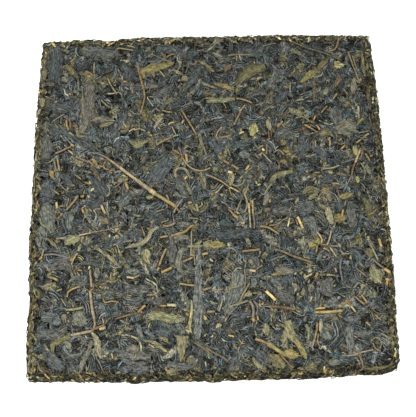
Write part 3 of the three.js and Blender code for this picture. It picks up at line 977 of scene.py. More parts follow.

# %% [markdown]
# ## The stems that catch the eye
#
# Stems are what one notices first on the real brick: golden, brown or plum, some as thick as
# a match. They are placed where the photo shows them. Each row names a shade, a width
# and then the points that the stem runs through, in millimetres from the brick's middle.

# %% Stems read from the photo
STEMS = (
    # The thick stems first: the longest one, and those that stand out most.
    ("plum", 1.0, -68.6, 27, -64, 26.8, -60.5, 26),
    ("orange", 1.3, -60.5, 25.8, -58.5, 24.6, -56, 22.6),
    ("straw", 1.7, -56.6, 23, -53.5, 20.4, -49.5, 17),
    ("cream", 2.0, -51, 18.5, -45, 13.5, -39.5, 9.2),
    ("straw", 2.8, -40.6, 10.2, -36, 6.4, -31.8, 3),
    ("cream", 3.2, -33.2, 4.2, -30.2, 1.8),
    ("gold", 2.4, -31.6, 2.8, -28, 0.4, -24, -2.2, -18.7, -5.9),
    ("orange", 1.4, -19.2, -5.4, -17.4, -8),
    ("cream", 1.6, 86.2, 25.4, 84.6, 22, 83, 18.2),
    ("rust", 1.3, 83, 18.4, 81.4, 14.6, 80.2, 10),
    ("plum", 1.1, 80.2, 10, 79, 8, 77, 4.5, 75, 1),
    ("straw", 1.5, -66, -40.5, -65.2, -46, -65, -50),
    ("straw", 2.0, -66, -52, -65.4, -58, -64.5, -63, -63.2, -67.5),
    ("orange", 0.9, -64, -48.6, -64.4, -51.2, -66, -52),
    ("tan", 1.4, -63.4, -67, -62.8, -70, -63.8, -73.6),
    ("straw", 1.8, -75.6, -75.9, -70, -74.8, -64, -73.6),
    ("rust", 1.9, -65, -73.2, -61, -71.8, -57.6, -70.6),
    ("cream", 2.2, -60.5, -72.6, -57, -72),
    ("cream", 1.9, -24.1, -60.3, -19.1, -60.5),
    ("amber", 1.1, -28, -60.6, -24.6, -60.7),
    ("flame", 1.7, -36, -60, -39.9, -63.4),
    ("rust", 1.2, -39.7, -63.5, -43.7, -64.7, -47.8, -66.1, -52, -67.4),
    ("pearl", 1.7, 48.6, -13, 51.3, -19.7),
    ("pearl", 1.9, 29.7, -53.8, 34.7, -59),
    ("brown", 1.8, 20.5, -58.8, 22.2, -61.8, 22.2, -68.4),
    ("plum", 1.2, 22.8, -59, 24.8, -62.4, 24, -66.4),
    ("orange", 1.8, 23, -79, 27, -80.5, 31, -82.5),
    ("ochre", 2.6, 31.6, -83.2, 36, -86, 39, -88),
    ("gold", 3.4, 29.8, -81.6, 32.6, -83.6),
    ("amber", 1.9, 55.3, -65.8, 62, -66, 70.5, -65.6),
    ("brown", 1.5, 35.1, -30.9, 40.1, -32.6, 44.3, -34.7, 52, -37.6, 55.9, -39.3),
    ("brown", 1.4, 88.4, -38.2, 91.3, -40.9, 94.7, -43.8),
    ("amber", 1.8, 94.4, -43.6, 97.4, -46.4),
    ("orange", 1.4, 77.6, -58.6, 80, -61, 82.6, -63),
    ("flame", 1.1, 81, -57.6, 82.6, -60, 84, -62.4),
    ("rust", 1.5, 31.3, -62, 38, -62.8, 45.1, -64),
    # Back left.
    ("tan", 1.2, -59, 75, -57, 70, -53, 63),
    ("tan", 1.2, -62, 60, -57, 55),
    ("tan", 1.3, -67, 84, -67, 77),
    ("gold", 1.1, -41.2, 81, -40.2, 76, -38.7, 70, -37.2, 64),
    ("rust", 0.7, -40.5, 81, -39.5, 76, -38, 70, -36.6, 64),
    ("gold", 1.3, -37, 64, -36.7, 60, -37.5, 56, -39, 50),
    ("plum", 0.9, -33, 88, -21, 82),
    ("tan", 1.2, -54, 92.6, -48, 91.4, -44, 90.6),
    ("bone", 1.0, -48, 94, -43, 92.4),
    ("gold", 1.3, -24, 85.5, -21, 87.2, -18.5, 87.5),
    ("bone", 1.2, -48.5, 67, -46, 65.5),
    ("gold", 1.1, -28, 77, -25, 73),
    ("umber", 0.9, -10, 82, -12.5, 75),
    ("straw", 1.0, -30, 53.2, -27.8, 51.4),
    ("tan", 1.3, -26.4, 52, -23, 50.9, -20, 50.6),
    ("bone", 1.0, -35.2, 60.4, -33.6, 57.6, -31.6, 54.6),
    ("olive", 0.8, -45, 52.4, -42, 50.2, -38.6, 50),
    # Back right.
    ("tan", 1.1, 13, 86, 20, 86.4, 28, 86),
    ("tan", 0.9, 18, 86, 18, 82),
    ("gold", 1.2, -1, 59, 5, 58.7),
    ("orange", 1.3, 17, 58.5, 22, 57.2, 26, 55.5),
    ("straw", 1.1, 22, 54.5, 20, 52, 18.5, 50),
    ("orange", 1.5, 19, 50, 17, 46, 15, 42),
    ("gold", 1.0, 45, 65.5, 48, 64.5),
    ("bone", 1.0, 49, 68, 48.5, 62),
    ("tan", 1.0, 30, 68, 32.5, 65),
    ("tan", 1.0, 28, 54, 33, 55.5),
    ("gold", 1.0, 15, 96, 19.5, 93.5),
    ("olive", 0.9, 34, 91.5, 42, 93.5),
    ("umber", 1.3, 50, 95.5, 60, 90.5, 70, 87, 80, 82.5),
    ("char", 1.0, 52, 93.6, 64, 88),
    ("char", 1.0, 51, 92, 67, 83),
    ("orange", 1.3, 73, 88, 77, 89, 79, 92, 80, 95, 84, 98),
    ("tan", 1.2, 85, 88, 87, 79, 90, 67),
    ("tan", 1.0, 87.4, 85, 89, 76),
    ("amber", 1.2, 76, 61, 73.4, 57.4),
    ("gold", 1.2, 69.5, 53, 65.5, 48.5),
    ("bone", 1.1, 51.5, 56.5, 56.5, 57.2),
    ("tan", 1.0, 79.5, 64, 82, 60),
    # Left, back half.
    ("gold", 1.5, -81.8, 48, -81.4, 44.6, -80.2, 41.2),
    ("olive", 0.8, -73.4, 68, -72.8, 60, -72.4, 51),
    ("plum", 1.1, -90.4, 46.4, -86, 49.6, -83, 51.4),
    ("brown", 0.8, -83, 46, -82, 42.4),
    ("tan", 0.8, -88.6, 45.6, -86.4, 43),
    ("brown", 0.9, -86, 45.2, -83, 41.4),
    ("rust", 1.4, -80.2, 48, -79.4, 45, -79.3, 41.6),
    ("bone", 1.1, -80, 40, -77, 37.5),
    ("brown", 1.2, -81, 35.5, -79, 33.5, -77.8, 31.8),
    ("amber", 1.8, -78.4, 32.4, -76.8, 31.2),
    ("orange", 1.3, -87, 27.5, -84, 28.5, -81, 30, -78.4, 31.2),
    ("cream", 1.0, -80, 29.2, -77.2, 26.6),
    ("plum", 1.6, -75.5, 25, -71.5, 23, -68, 21.4),
    ("tan", 1.2, -68.2, 22.6, -66, 20),
    ("gold", 1.3, -86, 24.5, -84.4, 16.8),
    ("plum", 1.5, -88, 24, -86.4, 17.4),
    ("orange", 1.1, -58.4, 22, -59.6, 19.6, -58.8, 17.6, -56.4, 17),
    ("orange", 1.1, -56.4, 15.4, -54.6, 16.4, -53, 16.2),
    ("gold", 1.1, -70, 9.6, -66.8, 8.2),
    ("gold", 0.9, -88, 5.6, -84, 2.6),
    ("plum", 0.8, -84, 8.6, -81.5, 6, -79, 4.2),
    ("tan", 0.9, -76, 14.5, -72, 11.4),
    ("plum", 1.1, -53, 6, -48, 10),
    ("rust", 0.9, -53.5, 2.6, -51, 3.4, -49.6, 5.2, -51, 7),
    # Middle, back half.
    ("orange", 1.3, -15, 52, -13, 48, -11, 44.6, -6.5, 36.5),
    ("plum", 1.5, -5, 38, -3.5, 32, -2, 27, -1, 24),
    ("tan", 0.8, -5.6, 37, -4.4, 32, -3, 27.4),
    ("gold", 1.7, -29.5, 31, -25, 33.6, -20.6, 35.4),
    ("lime", 1.2, -20.4, 35.6, -17, 36.6),
    ("cream", 0.8, -20.5, 42, -19.8, 39.6, -18.4, 36.8),
    ("cream", 1.1, -22.8, 43, -21, 44.2, -19.2, 44),
    ("cream", 1.1, -45.4, 39.4, -42, 41.2),
    ("bone", 0.9, -42.6, 40.2, -39, 40.8, -36, 39.4),
    ("gold", 1.1, -15, 23.4, -12.5, 19, -9, 16, -4, 14.8, 1, 16.5),
    ("amber", 1.9, -12.8, 25, -12.2, 20.4),
    ("orange", 1.0, -17, 29.4, -16, 27, -15.2, 24),
    ("brown", 1.0, -15.2, 24, -15.8, 20, -18.4, 16.4),
    ("orange", 0.9, -20.4, 27.8, -18, 26.2, -15.4, 24.6),
    ("flame", 1.8, -47, 8.8, -45.4, 4.8),
    ("brown", 1.1, -30, 45, -27, 48),
    ("cream", 0.9, 31, 24.5, 35.5, 19),
    ("brown", 1.5, 33.4, 30, 33, 24),
    ("flame", 1.1, 28, 27.4, 31.4, 29.4),
    ("gold", 0.9, 28.5, 23.5, 31, 25),
    ("tan", 0.9, 26, 25, 28.5, 21.5),
    ("gold", 1.0, 37, 25, 40, 26.3, 43, 23.5),
    ("cream", 1.4, 18, 36.8, 20.6, 37.8),
    ("plum", 1.1, 11, 28, 12.5, 23),
    ("orange", 1.7, 8.5, 20.8, 11.6, 18.6),
    ("orange", 1.7, 13, 18.2, 16.8, 15.2),
    ("pearl", 1.9, 10.9, 13.9, 13.3, 13.5),
    ("amber", 1.7, 21, 14.6, 22.8, 17.6),
    ("tan", 1.0, 20.5, 13, 24, 16),
    ("amber", 1.1, 17.5, 10, 19.4, 11.5),
    ("tan", 1.2, -2, 12.6, 3, 10.6, 8, 7.6, 11.6, 4.8),
    ("cream", 1.1, 11.4, 5, 16.6, 2),
    ("tan", 0.9, 11, 5, 12.5, 0),
    ("olive", 1.1, 11, 8, 15, 5.5, 19, 7, 20, 9.5),
    ("tan", 1.0, 22.3, 6.6, 21, 3, 19.5, 0),
    ("tan", 1.1, 6.4, 34.7, 10, 34.8, 13.4, 36),
    ("straw", 1.0, 4.5, 35, 5.6, 38, 8, 41),
    ("rust", 0.9, 34.6, 38, 35, 34),
    ("tan", 1.2, 40.4, 4.6, 42.6, 4),
    ("olive", 1.3, 31, 0, 33, 4, 35.4, 6.6),
    ("gold", 0.9, 47, 21, 49.6, 24),
    # Right, back half.
    ("tan", 1.0, 51, 45.8, 55, 46.3, 59, 43.5),
    ("amber", 1.2, 62.3, 47, 61.2, 44.6),
    ("rust", 1.1, 61.2, 44.8, 60.3, 42.2),
    ("flame", 1.5, 55.7, 41.5, 59, 39.6),
    ("orange", 1.0, 59, 39.4, 62.5, 37),
    ("flame", 1.2, 62.5, 41.4, 64.3, 38.2),
    ("amber", 1.3, 84.5, 30, 86.8, 31.6),
    ("brown", 1.1, 86.6, 31.4, 90, 34.2),
    ("amber", 1.3, 89.8, 34, 92, 35.5),
    ("olive", 0.9, 86, 36, 89, 36.5, 92.5, 37.2),
    ("tan", 0.8, 73.8, 38.2, 76.5, 41, 79, 42.8, 82, 44, 84.5, 43.8),
    ("amber", 1.1, 69.6, 31.8, 69.2, 28),
    ("gold", 0.8, 75, 31.6, 76.6, 33),
    ("tan", 0.8, 75.6, 29, 78.6, 30.2),
    ("amber", 1.4, 75.4, 26.2, 78, 28.6),
    ("brown", 1.0, 87.6, 26, 86.6, 21),
    ("ash", 1.0, 75, 18, 79, 19, 83, 20.4),
    ("char", 0.9, 75.4, 16.9, 79.2, 17.9, 82.6, 19.2),
    ("straw", 1.2, 64.5, 14.8, 70, 15.2, 73.8, 16.6),
    ("tan", 1.2, 89, 23.6, 91.4, 19),
    ("gold", 1.2, 59.5, 12.5, 62.5, 12.5),
    ("flame", 1.3, 69, 6, 73, 5.6),
    ("rust", 1.0, 71.6, 3, 72.6, -2),
    ("olive", 0.8, 86, 18, 88, 13, 87, 8),
    # Left, front half.
    ("orange", 1.4, -73.3, 1.4, -76.4, -2.8, -79.6, -6.6),
    ("orange", 1.3, -81.4, -8.4, -84.1, -11.6),
    ("cream", 1.5, -85.3, -1.8, -84.8, -5.4),
    ("flame", 1.6, -71, -5.6, -69.8, -8.6),
    ("cream", 1.7, -60.3, -4.2, -58, -9),
    ("tan", 0.9, -58, -5, -56, -9.6),
    ("gold", 0.9, -67.4, -5.8, -65.4, -7.6),
    ("olive", 1.1, -94.3, -10.5, -92.8, -14.7, -89.5, -16.8, -87.4, -19.7),
    ("slate", 1.2, -81.6, -10.5, -81.2, -14.7, -79.3, -19.7, -81.2, -21.3),
    ("straw", 1.2, -84.5, -22.7, -79, -22.6),
    ("straw", 1.3, -72, -21.2, -69, -20.6, -65.3, -19.8),
    ("tan", 0.9, -65.5, -19.7, -59.9, -18.8, -55.3, -18, -52.8, -16.8),
    ("olive", 1.2, -91, -28.6, -92, -32.6),
    ("plum", 1.3, -91, -32, -85, -31.8, -80.4, -33),
    ("plum", 1.2, -80.8, -32.8, -77.4, -34),
    ("amber", 1.1, -73, -31.2, -76.8, -38.2),
    ("flame", 1.2, -72.8, -40.6, -70.4, -41.1),
    ("gold", 1.6, -88.7, -44.3, -85.3, -45.1, -83.3, -46.3),
    ("gold", 1.3, -78.7, -55.5, -77.8, -52.6, -74.9, -50.9, -71.2, -49.7),
    ("olive", 1.1, -87.8, -49.3, -86.8, -51, -85.3, -52.2),
    ("olive", 1.2, -84.5, -52.2, -81.2, -51.1),
    ("tan", 1.0, -82, -56, -79, -60.4),
    ("olive", 1.7, -79, -62.4, -74, -62, -69.5, -61),
    ("orange", 1.2, -59.1, -55.5, -58.3, -58.2, -54, -57.8, -50.3, -58.4),
    ("plum", 0.9, -62, -87.6, -59.9, -90.9, -58.7, -94.3),
    ("cream", 0.9, -53.8, -85.4, -53.2, -88),
    # Middle, front half.
    ("tan", 1.2, -24, 1.4, -22.4, -2.4),
    ("bone", 1.1, -15.5, -2.2, -17.5, -5, -20.1, -9.3),
    ("orange", 0.9, -41.2, -1.8, -40.8, -3.8),
    ("gold", 0.8, -29.5, -8.4, -25.3, -7.2),
    ("lime", 1.6, -7.4, -4.4, -6.4, -8.6),
    ("orange", 1.0, -27, -14.7, -23, -13.6),
    ("tan", 1.5, -26, -16.5, -22, -16.5, -19, -15),
    ("gold", 1.6, -27.5, -23, -23.3, -22.6),
    ("gold", 1.7, -21.5, -22.4, -17.4, -21.2, -13.3, -19.9, -11.5, -18, -8.7, -16.5),
    ("gold", 1.5, -24.2, -29.4, -26.2, -33.8, -28.3, -38.8),
    ("flame", 1.8, -28.3, -39.8, -29.4, -41.6),
    ("flame", 1.8, -27, -42.6, -24.5, -41.5, -21.2, -40.1),
    ("flame", 1.3, -15, -36.9, -9.8, -34.7),
    ("bone", 0.9, -10.3, -19.7, -10.3, -25.1, -10.8, -33.4),
    ("olive", 0.9, -9.1, -30.1, -8.7, -38.8),
    ("amber", 1.9, -4.5, -33, -1.4, -32.2),
    ("tan", 0.9, -0.8, -45.1, -3.7, -49.7),
    ("gold", 1.3, -17.2, -48.8, -13, -49.6, -8.3, -50.1),
    ("cream", 1.4, -45.8, -44.8, -42, -45),
    ("orange", 1.3, -42.2, -44.9, -38.7, -43.6),
    ("tan", 0.9, -37.6, -16.8, -36, -21.8),
    ("char", 1.4, -24.1, -10.1, -22, -12, -21.2, -13.8),
    ("olive", 1.0, -11.2, -12.4, -6.6, -12.8),
    ("gold", 1.2, -32.4, -57, -31.4, -55.9),
    ("tan", 1.0, -35.3, -54.7, -30.3, -54.3, -27.8, -51.8),
    ("bone", 1.0, -34, -80.6, -31, -82.6),
    ("gold", 1.5, -4.5, -52.6, -2, -51.6, 0.1, -50.9),
    ("olive", 1.5, -2.4, -63.8, 1.8, -63.4),
    ("umber", 1.4, -3, -82.8, 3.5, -86.6, 8.5, -90.6),
    ("bone", 0.9, -3.9, -90, -3.6, -92.5),
    # Middle right, front half.
    ("gold", 1.2, 10.5, -7.6, 13, -10.6),
    ("flame", 2.1, 12.8, -10.8, 15.6, -13),
    ("tan", 0.9, 18, -2, 16.3, -5.9, 14.7, -9.7),
    ("olive", 1.5, 19.5, 1.5, 20.9, -3.4, 21, -6, 19.4, -9.8),
    ("cream", 1.3, 21.9, -4.5, 22.1, -10.5),
    ("bone", 1.3, 22.1, -10, 22.4, -18.6),
    ("plum", 1.2, 24.1, -11.2, 24.6, -15, 24.4, -19.2),
    ("amber", 1.1, 24.1, -2.6, 24, -11),
    ("tan", 0.9, 24.3, -2.8, 25.9, -2),
    ("char", 1.0, 2.6, -18.4, 11.8, -18, 18.8, -18.4),
    ("olive", 0.9, 8.4, -29.9, 12.2, -30.1, 14.7, -32.6),
    ("orange", 1.4, 17.2, -31.8, 21.3, -31.5, 27.2, -30.9),
    ("cream", 1.7, 21.2, -42.3, 24.4, -42.9),
    ("orange", 0.9, 25, -41.6, 28.4, -39.8),
    ("tan", 0.9, 27.4, -36.4, 28.2, -38.4),
    ("brown", 1.0, 19.3, -38, 18.4, -41.8, 18.8, -48, 18, -51.8),
    ("bone", 0.9, 12.6, -43, 14.7, -40.9, 16.8, -41.3),
    ("plum", 0.9, 6.3, -40.9, 8.8, -43.8, 11.3, -46.6),
    ("ash", 1.1, 33.4, -26.3, 32.6, -31.8),
    ("gold", 1.4, 27.6, -17.9, 32.4, -18.8, 35.5, -20.9, 38, -22.5),
    ("tan", 1.0, 32.6, -17.6, 36.8, -17.2, 40.1, -15.1, 43.4, -13.2),
    ("orange", 0.9, 35.1, -19.3, 38, -17.6),
    ("pearl", 1.1, 44.3, -13.6, 43, -18.4),
    ("orange", 1.2, 47.6, -14.5, 48.6, -17.6),
    ("olive", 1.5, 9.7, -52, 15.5, -50.9),
    ("gold", 1.1, 0.5, -52.2, 6.3, -52.2),
    ("tan", 1.2, 20.9, -49.3, 18.8, -52.6, 16.8, -55.9, 15.1, -59.3),
    ("olive", 1.3, 8.4, -65, 9.4, -62.4, 14.7, -60.5, 19.7, -58.8),
    ("bone", 1.2, 5.9, -57.2, 5.3, -60.1, 3.8, -63.8),
    ("plum", 1.0, 22.6, -58.8, 24.7, -60.9),
    ("amber", 2.0, 21.8, -68, 23, -70),
    ("amber", 1.2, 24.5, -66.8, 24.9, -69.2),
    ("amber", 1.3, 8.7, -76.8, 11.8, -77.8),
    ("rust", 1.1, 35.5, -86.8, 41.3, -93.8),
    ("bone", 1.1, 39.7, -78.4, 36.8, -83.4),
    ("gold", 1.2, 45.7, -97.5, 48.6, -97.7),
    # Right, front half.
    ("cream", 1.2, 59, -22, 61.3, -26, 61, -28.6),
    ("straw", 1.3, 66.8, -21.3, 65.5, -26, 64, -29.5),
    ("orange", 1.1, 60.5, -29.2, 64.3, -29.2),
    ("tan", 1.2, 66.3, -29.9, 70.1, -30.3),
    ("cream", 1.0, 65.5, -30.7, 68.8, -36.1),
    ("flame", 1.5, 62, -31, 65, -32.8),
    ("tan", 1.2, 58.6, -29.5, 57.8, -33.4),
    ("brown", 1.1, 62.2, -32.2, 59.3, -34.3),
    ("bone", 1.3, 88, -30, 89.5, -34, 91.3, -38.8),
    ("amber", 1.9, 92.6, -26.6, 93.8, -31.4),
    ("gold", 0.9, 87.2, -13, 90.5, -11.8, 92.6, -9.7),
    ("orange", 1.0, 92, -14.7, 90.5, -16.8),
    ("amber", 1.4, 74.2, -9.4, 73, -13.8),
    ("brown", 1.1, 79, -42.8, 80.9, -44.7, 84.7, -48),
    ("ash", 1.4, 71.8, -36.8, 70.7, -40.1, 71.3, -50.1),
    ("flame", 1.8, 58, -44.6, 56.8, -47.2),
    ("cream", 1.3, 55, -45, 50.6, -47.4),
    ("tan", 1.4, 67.6, -42.2, 68.4, -44.7),
    ("ash", 1.2, 73.2, -28, 73.4, -25.6, 75.8, -24.9, 78, -26),
    ("amber", 1.2, 55.9, -64, 61.3, -63.7),
    ("cream", 1.2, 75, -63.5, 77.6, -67.2),
    ("olive", 1.0, 77, -54, 80, -51),
    ("umber", 0.9, 83.8, -61.8, 86.8, -65.9, 90.1, -68, 93.8, -68),
    ("gold", 1.0, 88.4, -69.3, 90.9, -71.5),
    ("amber", 1.1, 82.6, -72.6, 84.9, -74.6),
    ("olive", 1.4, 90, -78.6, 92, -79.4, 94, -81),
    ("gold", 0.9, 85.6, -83.6, 86.4, -86, 88.8, -87.8),
    ("olive", 0.9, 84.6, -82.6, 87.4, -80.6, 90, -83, 89.2, -86.4),
    ("straw", 1.1, 71.2, -89.5, 73.8, -89.7, 78.8, -88.6, 85.5, -87.2),
    ("tan", 1.1, 68.7, -89.2, 71.6, -89.5),
    ("brown", 1.3, 77.6, -89.5, 79, -92.6, 80.3, -97),
    ("orange", 1.5, 56.6, -71, 56, -76),
    ("straw", 1.2, 56, -75.6, 54.3, -80.6, 52.8, -84.7),
    ("gold", 1.0, 56.8, -77.2, 56.3, -82.2, 57.2, -83.8),
    ("cream", 1.0, 54.4, -57.4, 53.2, -60.2),
)
